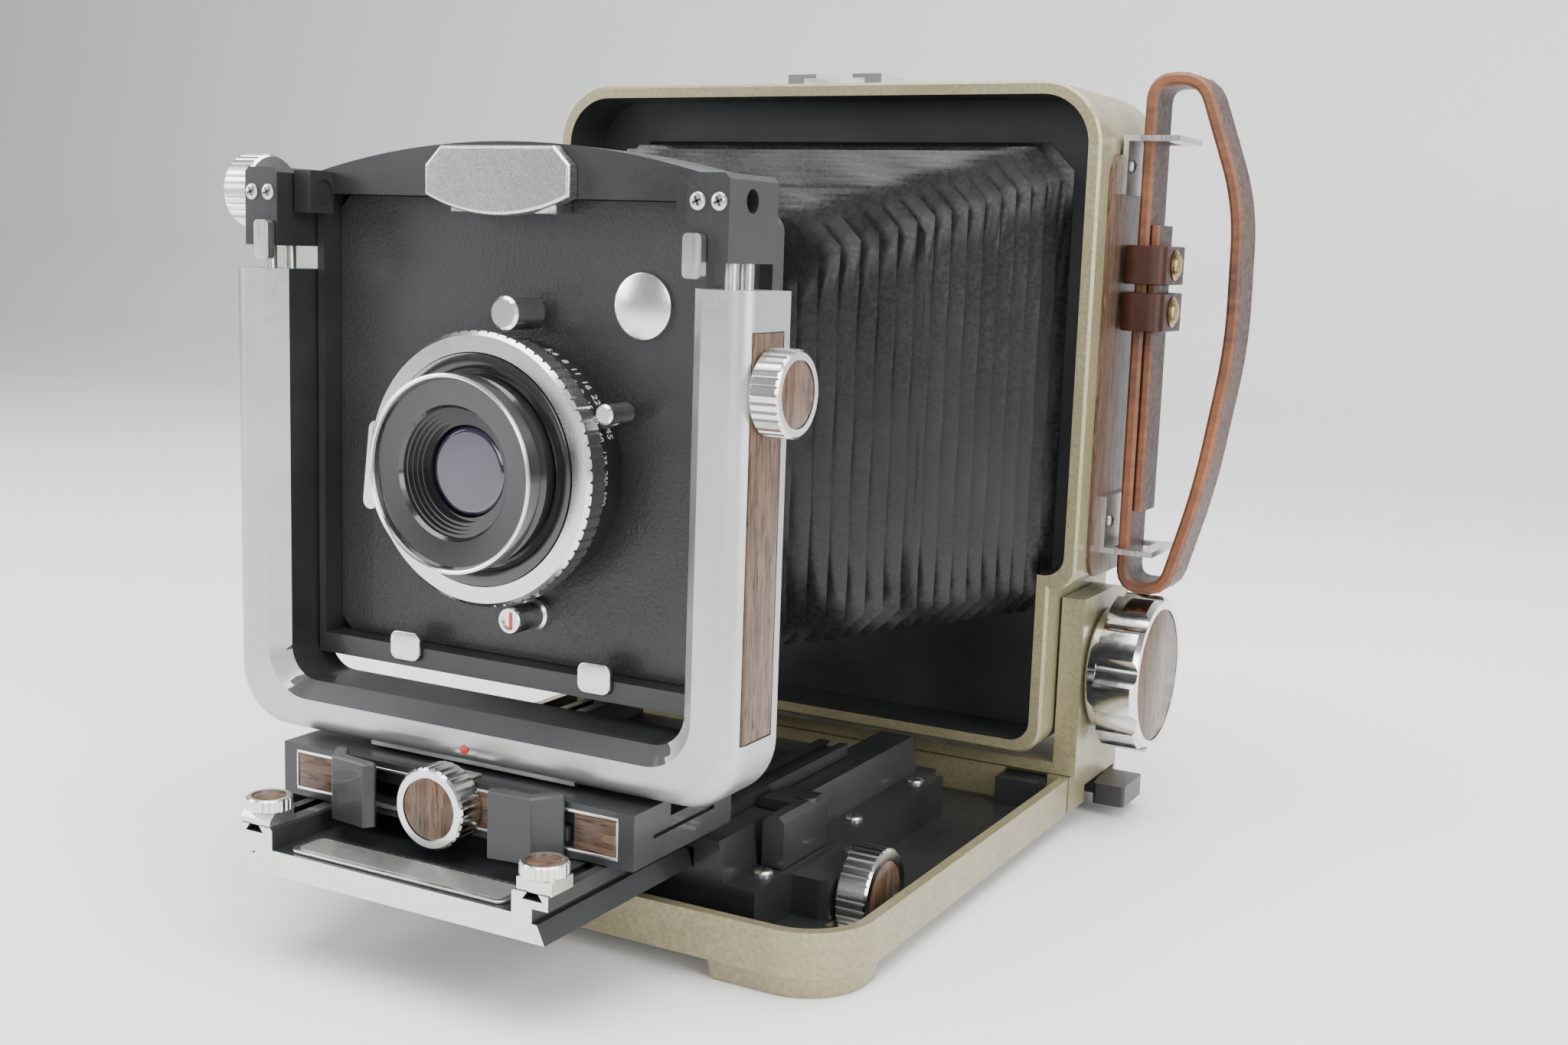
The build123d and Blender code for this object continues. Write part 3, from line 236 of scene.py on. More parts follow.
# %% Wood, leather and glass
def wood(scale):
    def recipe(place):
        along = stretched(place, scale)
        warp = noise(place, 20.0, 3.0)
        rings = noise(along, 2.2, 5.0, 0.65)
        streak = (rings * 5.0 + warp * 1.2).math("FRACT").ramp(0.15, 0.85)
        pores = noise(along, 16.0, 4.0, 0.7)
        base = streak.mix((0.070, 0.040, 0.025), (0.140, 0.085, 0.055))
        dark = pores.ramp(0.56, 0.66)
        return {"Base Color": dark.mix(base, (0.022, 0.012, 0.008)),
                "Roughness": dark.ramp(0.0, 1.0, 0.3, 0.52),
                "Bump": (1.0 - dark, 0.3, 0.00008)}
    return recipe


def leather(dark, light, scale, depth, low, high):
    def recipe(place):
        grain = cells(place, scale, "SMOOTH_F1")
        fine = noise(place, scale * 2.3, 4.0)
        broad = noise(place, 30.0, 4.0)
        crease = noise(stretched(place, (1.0, 1.0, 3.0)), 120.0, 5.0, 0.7)
        return {"Base Color": (broad * 0.6 + crease * 0.4).ramp(0.35, 0.65).mix(dark, light),
                "Roughness": (grain * 0.6 + broad * 0.4).ramp(0.2, 0.7, low, high),
                "Bump": (grain + fine * 0.4 + crease * 0.5, 0.45, depth)}
    return recipe


def frosted(place):
    fine = noise(place, 3000.0)
    broad = noise(place, 12.0)
    return {"Base Color": broad.ramp(0.3, 0.7).mix((0.62, 0.66, 0.65), (0.78, 0.81, 0.80)),
            "Roughness": fine.ramp(0.3, 0.7, 0.45, 0.6), "Bump": (fine, 0.2, 0.00003)}


def coated(place):
    broad = noise(place, 70.0, 2.0)
    return {"Base Color": broad.ramp(0.35, 0.65).mix((0.012, 0.008, 0.028), (0.030, 0.012, 0.045)),
            "Roughness": noise(place, 400.0).ramp(0.3, 0.7, 0.01, 0.035)}


WOOD_Z = material("walnut_upright", (0.3, 0.15, 0.08), 0.4, 0.0, 0.08, wood((110.0, 110.0, 9.0)),
                  Specular_IOR_Level=0.3)
WOOD_X = material("walnut_across", (0.3, 0.15, 0.08), 0.4, 0.0, 0.08, wood((9.0, 110.0, 110.0)),
                  Specular_IOR_Level=0.3)
BELLOWS = material("bellows_leathercloth", (0.02, 0.02, 0.02), 0.35, 0.0, 0.0,
                   leather((0.006, 0.006, 0.0065), (0.014, 0.014, 0.015), 900.0, 0.000025, 0.2, 0.38),
                   Specular_IOR_Level=0.42)
STRAP = material("strap_leather", (0.09, 0.035, 0.02), 0.42, 0.0, 0.0,
                 leather((0.022, 0.007, 0.004), (0.058, 0.019, 0.011), 700.0, 0.00006, 0.34, 0.54),
                 Specular_IOR_Level=0.3)
TAN = material("cut_leather_edge", (0.4, 0.19, 0.08), 0.6, 0.0, 0.0,
               leather((0.05, 0.018, 0.010), (0.24, 0.085, 0.030), 900.0, 0.0001, 0.45, 0.65))
THREAD = material("waxed_thread", (0.45, 0.33, 0.2), 0.6, 0.0, 0.0,
                  leather((0.16, 0.09, 0.045), (0.28, 0.17, 0.09), 3000.0, 0.0001, 0.5, 0.7))
FROSTED = material("ground_glass_face", (0.7, 0.74, 0.73), 0.5, 0.0, 0.0, frosted, Transmission_Weight=0.35)
LENS = material("coated_glass", (0.06, 0.02, 0.1), 0.02, 0.0, 1.0, coated, IOR=1.7)
WHITE = material("engraved_white", (0.8, 0.8, 0.78), 0.5, 0.0, 0.0,
                 satin((0.66, 0.66, 0.64), (0.80, 0.80, 0.78), 0.42, 0.56))
RED = material("red_enamel", (0.6, 0.03, 0.02), 0.35, 0.0, 0.3,
               satin((0.45, 0.02, 0.015), (0.65, 0.04, 0.03), 0.28, 0.42))
print(len(bpy.data.materials), "materials in all")

# %% [markdown]
# Modelling helpers. All take millimetres in the row frame and give one mesh object:
# a solid of revolution, a rounded plate, a screw head, a strip swept round a path.


# %% Modelling helpers
def piece(name, mesh_data, mats, body, smooth=True, stands_for=()):
    """Turns a bmesh in millimetres into an object that rides on a body."""
    bmesh.ops.recalc_face_normals(mesh_data, faces=mesh_data.faces)
    bmesh.ops.scale(mesh_data, vec=(MM, MM, MM), verts=mesh_data.verts)
    mesh = bpy.data.meshes.new(name)
    mesh_data.to_mesh(mesh)
    mesh_data.free()
    made = bpy.data.objects.new(name, mesh)
    bpy.context.scene.collection.objects.link(made)
    for mat in mats:
        mesh.materials.append(mat)
    if smooth:
        mesh.shade_smooth()
        mesh.set_sharp_from_angle(angle=math.radians(38))
    if body:
        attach(made, body)
    if stands_for:
        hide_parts(*stands_for)
    return made


def turned(to, centre, direction, profile, steps=64):
    """Revolves (radius, height) pairs about an axis through centre, into a bmesh."""
    turn = Vector((0, 0, 1)).rotation_difference(Vector(direction)).to_matrix().to_4x4()
    place = Matrix.Translation(centre) @ turn
    rings = []
    for radius, height in profile:
        if radius < 1e-6:
            rings.append([to.verts.new(place @ Vector((0, 0, height)))])
            continue
        rings.append([to.verts.new(place @ Vector((radius * math.cos(a), radius * math.sin(a), height)))
                      for a in (2 * math.pi * i / steps for i in range(steps))])
    for low, high in zip(rings, rings[1:]):
        for i in range(steps):
            j = (i + 1) % steps
            corners = [low[i % len(low)], low[j % len(low)], high[j % len(high)], high[i % len(high)]]
            to.faces.new(list(dict.fromkeys(corners)))
    return place


def slab(to, low, high, round_by=0.6, corner=0.0, axis=1, index=0, segments=3):
    """A box between two corners, its corners along one axis rounded, then every edge."""
    made = bmesh.ops.create_cube(to, size=1.0)["verts"]
    size = Vector(high) - Vector(low)
    middle = (Vector(high) + Vector(low)) / 2
    for v in made:
        v.co = Vector([v.co[i] * size[i] + middle[i] for i in range(3)])
    before = set(to.faces) - {f for v in made for f in v.link_faces}
    if corner:
        along = [e for e in {e for v in made for e in v.link_edges}
                 if abs((e.verts[0].co - e.verts[1].co)[axis]) > 1e-6]
        bmesh.ops.bevel(to, geom=along, offset=corner, segments=6, affect="EDGES", profile=0.5)
    faces = [f for f in to.faces if f not in before]
    if round_by:
        edges = [e for e in {e for f in faces for e in f.edges}
                 if e.calc_face_angle(0.0) > 0.9]
        bmesh.ops.bevel(to, geom=edges, offset=round_by, segments=segments, affect="EDGES", profile=0.5)
    for f in to.faces:
        if f not in before:
            f.material_index = index


def cross_head(to, at, direction, radius, height):
    """A raised screw head with two crossed black bars set into its top, painted shade standing for the cross
    slots; nothing is cut.
    """
    place = turned(to, at, direction, [(radius, 0), (radius, height * 0.45), (radius * 0.86, height * 0.8),
                                       (radius * 0.6, height), (0, height)], 24)
    for turn in (0, math.pi / 2):
        # Each bar is the painted shade of one arm of the cross slots: a box with the second, black material
        # that stands a little above the head.
        slot_shade_bar = bmesh.ops.create_cube(to, size=1.0)["verts"]
        spin = place @ Matrix.Rotation(turn + 0.4, 4, "Z")
        for v in slot_shade_bar:
            v.co = spin @ Vector((v.co.x * radius * 1.15, v.co.y * radius * 0.26,
                                  v.co.z * height * 0.5 + height * 0.78))
            for f in v.link_faces:
                f.material_index = 1


def rounded_path(points, radius, closed, spacing=1.5):
    """Points in X and Z joined by straight runs and rounded corners, evenly spaced."""
    count = len(points)
    dense = []
    for i, point in enumerate(points):
        here = Vector(point)
        if not closed and i in (0, count - 1):
            dense.append(here)
            continue
        before = (Vector(points[i - 1]) - here)
        after = (Vector(points[(i + 1) % count]) - here)
        cut = min(radius, before.length * 0.45, after.length * 0.45)
        start = here + before.normalized() * cut
        end = here + after.normalized() * cut
        for k in range(9):
            t = k / 8
            dense.append((1 - t) ** 2 * start + 2 * t * (1 - t) * here + t * t * end)
    if closed:
        dense.append(dense[0].copy())
    lengths = [(b - a).length for a, b in zip(dense, dense[1:])]
    steps = max(8, int(sum(lengths) / spacing))
    result = []
    for k in range(steps + (0 if closed else 1)):
        want = sum(lengths) * k / steps
        i = 0
        while i < len(lengths) - 1 and want > lengths[i]:
            want -= lengths[i]
            i += 1
        result.append(dense[i].lerp(dense[i + 1], min(1.0, want / max(lengths[i], 1e-9))))
    return result


def strip(to, path, closed, low_y, high_y, thick, sway=0.0, edge=0.5):
    """Leather swept round a path in X and Z: grain sides index 0, cut edges index 1."""
    count = len(path)
    mid = (low_y + high_y) / 2
    half = (high_y - low_y) / 2
    section = [(-half, -thick / 2 + edge), (-half + edge, -thick / 2), (half - edge, -thick / 2),
               (half, -thick / 2 + edge), (half, thick / 2 - edge), (half - edge, thick / 2),
               (-half + edge, thick / 2), (-half, thick / 2 - edge)]
    rings = []
    for i, point in enumerate(path):
        ahead = path[(i + 1) % count] if closed else path[min(i + 1, count - 1)]
        behind = path[i - 1] if closed or i else path[0]
        along = (ahead - behind).normalized()
        out = Vector((along.y, -along.x))
        lean = sway * math.sin(i * 0.11)
        rings.append([to.verts.new((point.x + out.x * d, mid + w + lean, point.y + out.y * d))
                      for w, d in section])
    pairs = list(zip(rings, rings[1:])) + ([(rings[-1], rings[0])] if closed else [])
    for a, b in pairs:
        for k in range(8):
            m = (k + 1) % 8
            face = to.faces.new((a[k], a[m], b[m], b[k]))
            face.material_index = 0 if k in (1, 5) else 1
    if not closed:
        to.faces.new(rings[0]).material_index = 1
        to.faces.new(rings[-1]).material_index = 1


print("helpers ready")

# %% [markdown]
# Finishes of the CAD nodes. Their shapes stay as packed. Where a casting is painted
# inside in black, or a bar has a machined end, its own faces there get a second finish.

# %% Dress the CAD nodes
FINISH = {
    HAMMER: "base_block bed_tray yoke housing_shell",
    SATIN: "standard_u_frame shift_slide",
    MACHINED: "track_stop_wedges",
    BRUSHED_X: "board_latch",
    TURNED: "shutter_speed_ring stop_screw_left stop_screw_right focus_knobs clamp_knob"
            " front_tilt_knob rise_lock_knob release_lever cocking_lever aperture_lever open_shutter_button",
    CHROME: "rear_tilt_knob_left rear_tilt_knob_right accessory_shoe",
    STEEL: "bed_hinge_pins rise_pins_and_trunnions tilt_detent_lever_left tilt_detent_lever_right"
           " focus_pinion hood_hinge back_leaf_springs"
           " back_lock_slide iris_and_shutter_blades strap_brackets",
    BLACK: "rise_brackets pinion_bearings squeeze_grip_left squeeze_grip_right focus_track"
           " bellows_rear_frame bed_guide carriage_block lens_frame bellows_front_frame"
           " lens_rear_cell back_frame"
           " ground_glass_frame focusing_hood tripod_plate track_lock_lever bed_release_lever"
           " swing_lock_lever",
    CRINKLE: "lens_board",
    GLOSS: "shutter_body lens_front_cell",
    BRASS: "tripod_bush track_rack",
    STRAP: "carry_strap",
    BELLOWS: "bellows",
    LENS: "lens_glass",
    FROSTED: "ground_glass",
    WOOD_Z: "housing_side_panels",
}
for finish, names in FINISH.items():
    for name in names.split():
        if name in NODES:
            NODES[name].data.materials.clear()
            NODES[name].data.materials.append(finish)


def dress(name, finish, wanted):
    """Gives a second finish to the faces of a CAD node whose middle and normal pass a test."""
    mesh = NODES[name].data
    mesh.materials.append(finish)
    place = len(mesh.materials) - 1
    for face in mesh.polygons:
        if wanted(face.center / MM, face.normal):
            face.material_index = place


def inside_round(x, z, half, low, high, corner):
    """Whether a point lies inside an upright rectangle with rounded upper corners."""
    if abs(x) > half or not low < z < high:
        return False
    dx, dz = abs(x) - (half - corner), z - (high - corner)
    return dx < 0 or dz < 0 or dx * dx + dz * dz < corner * corner


dress("housing_shell", BLACK, lambda c, n: -37.6 < c.y < 14.5 and (
    inside_round(c.x, c.z, 88.0, 74.0, 215.2, 15.0) or inside_round(c.x, c.z, 80.2, 27.4, 80.0, 0.1)))
dress("bed_tray", BLACK, lambda c, n: abs(c.x) < 87.6 and c.y > -178.6 and c.z > 6.0 and not (
    abs(c.x) > 72.0 and c.y < -163.0 and (abs(c.x) - 72.0) ** 2 + (c.y + 163.0) ** 2 > 15.6 ** 2))
dress("focus_track", MACHINED, lambda c, n: n.y < -0.5 and c.y < -227.0)
dress("rise_pins_and_trunnions", BLACK, lambda c, n: c.z > 170.0)
dress("shutter_body", BLACK, lambda c, n: c.y > -190.0)
dress("standard_u_frame", BLACK, lambda c, n: (
    (abs(n.x) > 0.7 and abs(c.x) < 58.2) or (n.z > 0.6 and c.z < 70.0)))
bare = [n for n, o in NODES.items() if not any(o.data.materials)]
print("nodes with no finish:", bare)

# %% [markdown]
# The bellows. One pleated tube, its corners cut so the folds cross over there, is
# drawn ring by ring from the front frame to the rear frame. It is split into pieces
# that share their end rings, one for each joint of the moving chain and named after it.

# %% Bellows
FRONT_Y, REAR_Y = -163.0, -19.0
PLEATS, PER_PLEAT = 17, 8
RINGS = PLEATS * PER_PLEAT
DEEP = 7.2
WALL = 0.8
HALF_WIDE = (58.3, 77.3)
LOW_EDGE = (73.2, 62.2)
HIGH_EDGE = (173.3, 202.8)
CHAIN = [("front_frame", "riser", 10), ("riser", "standard", 7), ("standard", "shift", 5),
         ("shift", "carriage", 3), ("carriage", "track", 42), ("track", "bed", 36),
         ("bed", "base", 10), ("base", "yoke", 9), ("yoke", "housing", 22)]


def bellows_ring(step, inner):
    """Points of one ring: straight runs between cut corners that shift with each fold."""
    share = step / RINGS
    y = FRONT_Y + (REAR_Y - FRONT_Y) * share
    half, low, high = (a + (b - a) * share for a, b in (HALF_WIDE, LOW_EDGE, HIGH_EDGE))
    phase = (step % PER_PLEAT) / PER_PLEAT
    fold = abs(2 * phase - 1)
    fold = fold * 0.75 + 0.25 * (1 - math.cos(math.pi * fold)) / 2
    inset = 0.2 + DEEP * (1 - fold) + (WALL if inner else 0.0)
    cut = 8.0 + 11.0 * (1 - fold)
    half, low, high = half - inset, low + inset, high - inset
    corners = [(half - cut, low), (half, low + cut), (half, high - cut), (half - cut, high),
               (-half + cut, high), (-half, high - cut), (-half, low + cut), (-half + cut, low)]
    ring = []
    for i, (x, z) in enumerate(corners):
        nx, nz = corners[(i + 1) % 8]
        runs = 3 if i in (0, 2, 4, 6) else 10
        for k in range(runs):
            t = k / runs
            px, pz = x + (nx - x) * t, z + (nz - z) * t
            wave = 0.35 * math.sin(px * 0.21 + pz * 0.17 + step * 1.7)
            ring.append((px, y + wave * (0 < step < RINGS), pz))
    return ring


done = 0.0
start_ring = 0
for front_body, rear_body, length in CHAIN:
    done += length
    end_ring = round(done / (REAR_Y - FRONT_Y) * RINGS)
    build = bmesh.new()
    outside, inside = ([[build.verts.new(p) for p in bellows_ring(s, inner)]
                        for s in range(start_ring, end_ring + 1)] for inner in (False, True))
    for skin, flip in ((outside, False), (inside, True)):
        for a, b in zip(skin, skin[1:]):
            for i in range(len(a)):
                j = (i + 1) % len(a)
                build.faces.new((a[i], a[j], b[j], b[i]) if not flip else (a[i], b[i], b[j], a[j]))
    for o_ring, i_ring in ((outside[0], inside[0]), (outside[-1], inside[-1])):
        for i in range(len(o_ring)):
            j = (i + 1) % len(o_ring)
            build.faces.new((o_ring[i], o_ring[j], i_ring[j], i_ring[i]))
    part = piece(f"bellows_{front_body}_{rear_body}", build, [BELLOWS], None, stands_for=["bellows"])
    part.data.set_sharp_from_angle(angle=math.radians(60))
    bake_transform(part)
    start_ring = end_ring
print("bellows in", len(CHAIN), "pieces of", RINGS, "rings")

# %% [markdown]
# The carrying strap: a loop of dark leather with cut tan edges, its tail doubled on the
# inner run, two keepers round both, stitching along each edge and domed brass studs.

# %% Leather strap
LOOP = [(98.4, 73.9), (98.4, 220.6), (112.6, 220.6), (125.2, 186.0), (125.7, 146.4), (119.3, 104.6),
        (110.8, 73.9)]
loop = rounded_path(LOOP, 12.0, True)
build = bmesh.new()
strip(build, loop, True, -17.9, -2.1, 3.5, sway=0.08, edge=0.9)
strap = piece("strap_loop", build, [STRAP, TAN], "housing", stands_for=["carry_strap"])
build = bmesh.new()
strip(build, rounded_path([(101.6, 96.4), (101.6, 179.6)], 2.0, False), False, -16.8, -3.2, 2.6, 0.1, 0.6)
piece("strap_tail", build, [STRAP, TAN], "housing")
for label, low in (("lower", 149.2), ("upper", 162.7)):
    build = bmesh.new()
    band = [(-19.8, 94.9), (0.9, 94.9), (0.9, 104.7), (-19.8, 104.7)]
    path = rounded_path([(y, x) for y, x in band], 2.4, True, 0.8)
    rings = []
    for i, point in enumerate(path):
        along = (path[(i + 1) % len(path)] - path[i - 1]).normalized()
        out = Vector((along.y, -along.x))
        outline = [(0.0, 0.4), (10.9, 0.4), (11.1, 0.0), (11.1, -1.0), (10.9, -1.4), (0.2, -1.4),
                   (0.0, -1.0)]
        rings.append([build.verts.new((point.y - out.y * d, point.x - out.x * d, low + h))
                      for h, d in outline])
    for a, b in zip(rings, rings[1:] + rings[:1]):
        for k in range(len(a)):
            m = (k + 1) % len(a)
            build.faces.new((a[k], a[m], b[m], b[k])).material_index = 1 if k in (1, 2, 6) else 0
    keeper = piece(f"strap_keeper_{label}", build, [STRAP, TAN], "housing")


def stitches(name, path, rows, lift, body, closed):
    """Short raised threads along a strip's outer face, as one object."""
    build = bmesh.new()
    count = len(path)
    for y in rows:
        for i in range(0, count - (0 if closed else 2), 2):
            a, b = path[i], path[(i + 1) % count]
            along = (b - a).normalized()
            out = Vector((along.y, -along.x)) * lift
            middle = (a + b) / 2 + out
            spot = bmesh.ops.create_icosphere(build, subdivisions=1, radius=1.0)["verts"]
            for v in spot:
                v.co = Vector((middle.x + along.x * v.co.x * 0.95 + along.y * v.co.z * 0.3,
                               y + v.co.y * 0.32,
                               middle.y + along.y * v.co.x * 0.95 - along.x * v.co.z * 0.3))
    return piece(name, build, [THREAD], body)


middle_x = sum(p.x for p in loop) / len(loop)
ahead = (loop[1] - loop[0]).normalized()
outward = 1.0 if (loop[0].x - middle_x) * ahead.y > 0 else -1.0
stitches("strap_stitching", loop, (-16.2, -3.8), 1.72 * outward, "housing", True)
build = bmesh.new()
for x, z in ((106.3, 154.9), (106.3, 168.4)):
    turned(build, (x - 0.3, -10.0, z), (1, 0, 0),
           [(4.2, 0), (4.4, 0.4), (3.6, 1.0), (3.2, 0.9), (2.8, 1.5), (0, 2.0)], 32)
for z in (190.5, 100.5):
    turned(build, (96.5, -10.0, z), (-1, 0, 0), [(2.6, 0), (2.5, 0.5), (1.6, 1.1), (0, 1.3)], 24)
piece("strap_snaps", build, [BRASS], "housing")
print("strap loop of", len(loop), "sections")

# %% [markdown]
# Wood: inlaid discs in every knob, the strips let into the sides of the standard and
# the panel in the front of the carriage.

# %% Wood trim
DISCS = [("rear_disc_right", (108.0, -8.0, 46.5), (1, 0, 0), 19.8, "rear_knob_right"),
         ("rear_disc_left", (-108.0, -8.0, 46.5), (-1, 0, 0), 19.8, "rear_knob_left"),
         ("focus_disc_right", (79.8, -137.0, 11.9), (1, 0, 0), 8.75, "focus_drive"),
         ("focus_disc_left", (-79.8, -137.0, 11.9), (-1, 0, 0), 8.75, "focus_drive"),
         ("rise_lock_disc", (79.6, -192.0, 139.3), (1, 0, 0), 7.25, "rise_lock"),
         ("clamp_disc", (0, -213.2, 39.9), (0, -1, 0), 7.25, "carriage_clamp"),
         ("stop_disc_left", (-39.6, -223.4, 37.92), (0, 0, 1), 3.95, "stop_screw_left_body"),
         ("stop_disc_right", (39.6, -223.4, 37.92), (0, 0, 1), 3.95, "stop_screw_right_body"),
         ("front_tilt_disc", (-75.1, -191.2, 179.0), (-1, 0, 0), 6.85, "front_tilt_lock")]
for name, at, facing, radius, body in DISCS:
    build = bmesh.new()
    turned(build, at, facing, [(0, 0), (radius, 0), (radius, 0.45), (radius - 0.4, 0.72), (0, 0.76)], 48)
    piece(name, build, [WOOD_Z], body)
print(len(DISCS), "wood discs")

# %% [markdown]
# Let-in wood: strips down the outer faces of the standard, in two lengths that leave a
# way for the stem of the lock knob, and a panel across the front of the carriage, in
# lengths that leave the squeeze grips room to move.

# %% Wood strips and panel
build = bmesh.new()
for side in (-1, 1):
    for low, high in ((63.2, 135.6), (143.0, 151.8)):
        a, b = sorted((side * 72.05, side * 73.0))
        slab(build, (a, -198.2, low), (b, -185.6, high), 0.25)
piece("standard_wood", build, [WOOD_Z], "standard")
build = bmesh.new()
for a, b in ((-46.4, -35.2), (-12.6, -3.2), (3.2, 12.6), (35.2, 46.4)):
    slab(build, (a, -206.5, 35.4), (b, -204.85, 43.7), 0.3)
piece("carriage_wood", build, [WOOD_X], "carriage")
build = bmesh.new()
for z in (35.0, 44.1):
    slab(build, (-47.0, -206.6, z - 0.35), (47.0, -204.9, z + 0.35), 0.15)
for x in (-46.8, 46.8):
    slab(build, (x - 0.25, -206.6, 35.4), (x + 0.25, -204.9, 43.7), 0.1)
piece("carriage_trim", build, [MACHINED], "carriage")
print("wood trim let in")

# %% [markdown]
# Fastenings and small fittings: cross-headed screws on the guide, the tilt brackets and
# the strap brackets, the tabs that hold the lens board, and the swing index.

# %% Screws, tabs and index
SCREWS = {"bed": [((x, y, 18.5), (0, 0, 1), 2.5, 1.1) for x in (-56.3, 56.3) for y in (-156, -106, -66)]
          + [((x, -126.0, 17.0), (0, 0, 1), 2.3, 1.0) for x in (-66, 66)],
          "riser": [((side * x, -201.0, 178.6), (0, -1, 0), 1.9, 0.7)
                    for side in (-1, 1) for x in (60.0, 65.2)],
          "housing": [((93.9, y, z), (1, 0, 0), 1.9, 0.8) for z in (196.0, 93.0) for y in (-17.0, -3.0)]}
for body, places in SCREWS.items():
    build = bmesh.new()
    for at, facing, radius, height in places:
        cross_head(build, at, facing, radius, height)
    # The black second material is the painted shade of the screw slots.
    piece(f"screws_{body}", build, [STEEL, BLACK], body)
build = bmesh.new()
for x in (-28.0, 28.0):
    slab(build, (x - 4.6, -189.4, 66.0), (x + 4.6, -188.1, 73.4), 0.4, 2.2, 1)
piece("board_tabs", build, [BRUSHED_X], "front_frame")
build = bmesh.new()
turned(build, (0, -201.02, 51.0), (0, -1, 0), [(0, 0), (1.15, 0), (1.1, 0.25), (0, 0.4)], 24)
piece("swing_index_dot", build, [RED], "standard")
build = bmesh.new()
slab(build, (-6.0, -206.2, 45.95), (6.0, -201.9, 46.5), 0.15)
slab(build, (-0.25, -206.1, 46.5), (0.25, -202.2, 46.58), 0.0, index=1)
piece("swing_index_plate", build, [MACHINED, RED], "carriage")
build = bmesh.new()
slab(build, (-31.0, -226.6, 27.45), (31.0, -215.4, 28.2), 0.25, 2.6, 2)
slab(build, (-29.4, -225.2, 28.15), (29.4, -216.8, 28.32), 0.0, 1.8, 2, index=1)
piece("name_plate_blank", build, [BRUSHED_X, SATIN], "track")
print("screws:", sum(len(v) for v in SCREWS.values()))

# %% [markdown]
# A blank round disc on the lens board, in plain turned metal, with nothing on it.

# %% Blank disc
build = bmesh.new()
turned(build, (35.0, -182.02, 155.5), (0, -1, 0), [(0, 0), (7.5, 0), (7.5, 0.7), (7.1, 0.9), (0, 0.9)])
piece("blank_disc", build, [TURNED], "front_frame")
print("blank disc made")

# %% [markdown]
# Dials. Numerals are thin raised shapes: apertures and speeds round the wall of
# the shutter. The ring round the front glass carries no lettering.

# %% Numerals and shutter fittings
LENS_AXIS = Vector((0.0, 0.0, 116.6))


def numerals(name, entries, mat, body):
    """entries: text, height, place in millimetres, reading direction, facing direction."""
    build = bmesh.new()
    for text, height, at, along, facing in entries:
        curve = bpy.data.curves.new("numeral", "FONT")
        curve.body = text
        curve.size = height
        curve.extrude = 0.03
        curve.resolution_u = 3
        curve.align_x = "CENTER"
        curve.align_y = "CENTER"
        holder = bpy.data.objects.new("numeral", curve)
        mesh = holder.to_mesh().copy()
        holder.to_mesh_clear()
        facing, along = Vector(facing).normalized(), Vector(along).normalized()
        up = facing.cross(along)
        mesh.transform(Matrix.Translation(at) @ Matrix((along, up, facing)).transposed().to_4x4())
        build.from_mesh(mesh)
        bpy.data.objects.remove(holder)
        bpy.data.curves.remove(curve)
        bpy.data.meshes.remove(mesh)
    return piece(name, build, [mat], body, smooth=False)


# Each row: numeral height, place along the axis, and the numerals with their angles.
APERTURES = (("5.6", 66), ("8", 58), ("11", 51), ("16", 43), ("22", 35), ("32", 27), ("45", 19))
SPEEDS = (("B", 64), ("1", 58), ("2", 52), ("4", 46), ("8", 40), ("15", 33), ("30", 26), ("60", 18),
          ("125", 9), ("250", 0), ("500", -9))
DIAL_RADIUS = 30.03
entries = []
for height, y, series in ((2.9, -185.3, APERTURES), (2.3, -188.9, SPEEDS)):
    for text, degrees in series:
        a = math.radians(degrees)
        out = Vector((math.cos(a), 0, math.sin(a)))
        at = LENS_AXIS + out * DIAL_RADIUS + Vector((0, y, 0))
        entries.append((text, height, at, (math.sin(a), 0, -math.cos(a)), out))
numerals("dial_numerals", entries, WHITE, "front_frame")
build = bmesh.new()
place = Vector((7.0, 0.0, 116.6 - 35.2))
turned(build, place + Vector((0, -182.1, 0)), (0, -1, 0),
       [(3.9, 0), (3.9, 2.0), (3.2, 2.4), (3.2, 11.2), (2.9, 11.6), (2.2, 11.6), (2.2, 10.9), (0, 10.9)], 36)
slab(build, (6.7, -193.35, 79.4), (7.3, -192.95, 83.4), 0.0, index=1)
piece("flash_socket", build, [TURNED, RED], "front_frame")
build = bmesh.new()
turned(build, LENS_AXIS + Vector((0, -198.0, 0)), (0, -1, 0),
       [(22.9, -0.6), (26.9, -0.6), (26.9, 0.1), (26.4, 0.3), (23.4, 0.3), (22.9, 0.0), (22.9, -0.6)], 96)
piece("speed_face_ring", build, [GLOSS], "front_frame")
build = bmesh.new()
turned(build, LENS_AXIS + Vector((0, -207.25, 0)), (0, -1, 0),
       [(22.75, 0.0), (22.78, 0.75), (22.3, 0.95), (21.9, 0.7), (21.75, 0.0), (22.75, 0.0)], 96)
piece("front_rim", build, [TURNED], "front_frame")
print(len(entries), "numerals")

# %% [markdown]
# A pale sweep, four soft lamps and the camera, which stands at the front left of the
# object, slightly above it, and leans by two degrees.

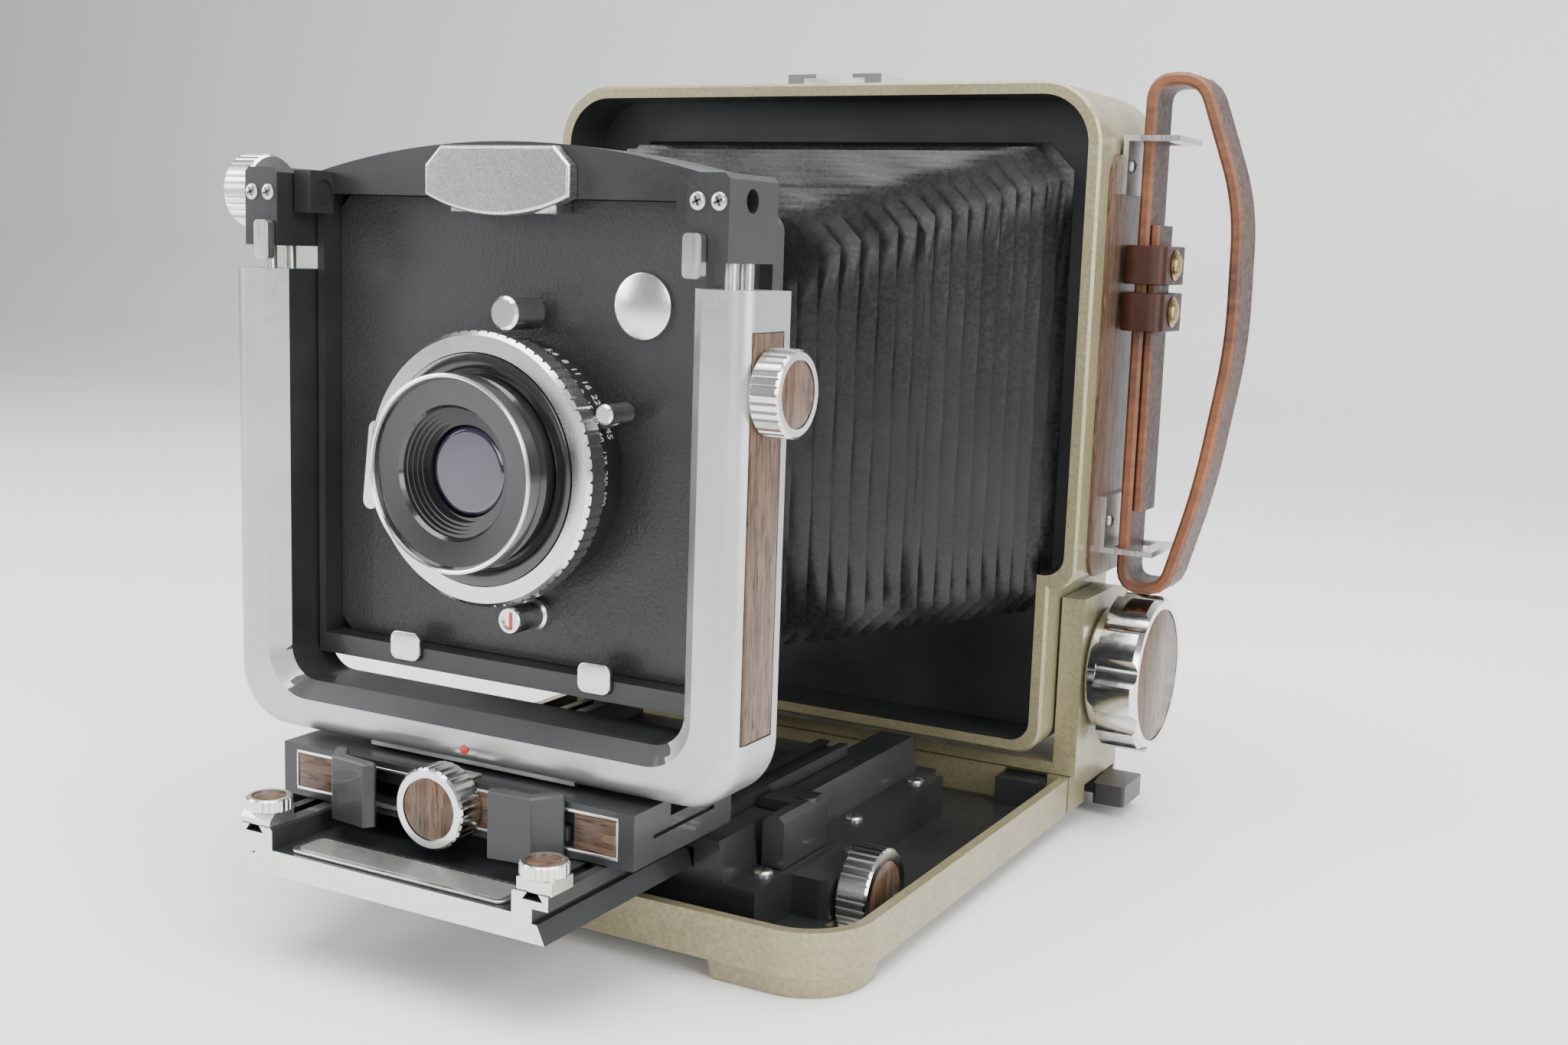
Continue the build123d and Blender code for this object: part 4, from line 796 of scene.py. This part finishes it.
# %% Stage, light and camera
build = bmesh.new()
FLOOR = [(-6.0, 0.0), (0.9, 0.0), (1.15, 0.03), (1.35, 0.14), (1.45, 0.35), (1.5, 1.8)]
rows = [[build.verts.new((x, y, z)) for x in (-5.0, 5.0)] for y, z in FLOOR]
for a, b in zip(rows, rows[1:]):
    build.faces.new((a[0], a[1], b[1], b[0]))
mesh = bpy.data.meshes.new("floor")
build.to_mesh(mesh)
build.free()
mesh.shade_smooth()
floor = bpy.data.objects.new("floor", mesh)
bpy.context.scene.collection.objects.link(floor)
floor.location = (0, 0, -0.0002)
mesh.materials.append(material("sweep", (0.88, 0.88, 0.885), 0.7, 0.0, 0.0))


def lamp(name, where, aim, size, power, tint):
    light = bpy.data.lights.new(name, "AREA")
    light.shape = "RECTANGLE"
    light.size, light.size_y = size
    light.energy = power
    light.color = tint
    holder = bpy.data.objects.new(name, light)
    bpy.context.scene.collection.objects.link(holder)
    holder.location = where
    holder.rotation_euler = (Vector(aim) - Vector(where)).to_track_quat("-Z", "Y").to_euler()


lamp("overhead", (0.1, -0.15, 1.15), (0, -0.05, 0.05), (1.5, 1.1), 37.0, (1.0, 1.0, 1.0))
lamp("left_box", (-1.1, -0.75, 0.65), (0, -0.1, 0.1), (0.7, 0.9), 15.0, (0.97, 0.985, 1.0))
lamp("right_box", (1.15, -0.5, 0.55), (0, -0.05, 0.1), (0.6, 0.9), 15.0, (1.0, 0.995, 0.98))
lamp("front_fill", (0.25, -1.5, 0.5), (0, -0.1, 0.1), (0.8, 0.5), 6.0, (1.0, 1.0, 1.0))
world = bpy.data.worlds.new("studio")
world.use_nodes = True
world.node_tree.nodes["Background"].inputs[0].default_value = (0.93, 0.94, 0.96, 1.0)
world.node_tree.nodes["Background"].inputs[1].default_value = 0.42
bpy.context.scene.world = world

AZIMUTH, ELEVATION, LEAN = (math.radians(a) for a in (28.19, 8.86, 1.99))
lens = bpy.data.cameras.new("camera")
lens.lens, lens.sensor_width = 40.57, 36.0
lens.clip_start, lens.clip_end = 0.01, 20.0
camera = bpy.data.objects.new("camera", lens)
bpy.context.scene.collection.objects.link(camera)
upright = Matrix(((1, 0, 0), (0, 0, -1), (0, 1, 0)))
turn = Matrix.Rotation(-AZIMUTH, 3, "Z")
tip = Matrix.Rotation(ELEVATION, 3, "X")
roll = Matrix.Rotation(LEAN, 3, "Z")
rows = roll @ tip @ upright @ turn
axes = Matrix((rows[0], -rows[1], -rows[2])).transposed()
camera.matrix_world = Matrix.Translation((0.2534, -0.5193, 0.1698)) @ axes.to_4x4()
bpy.context.scene.camera = camera
print("camera at", [round(v, 3) for v in camera.location])
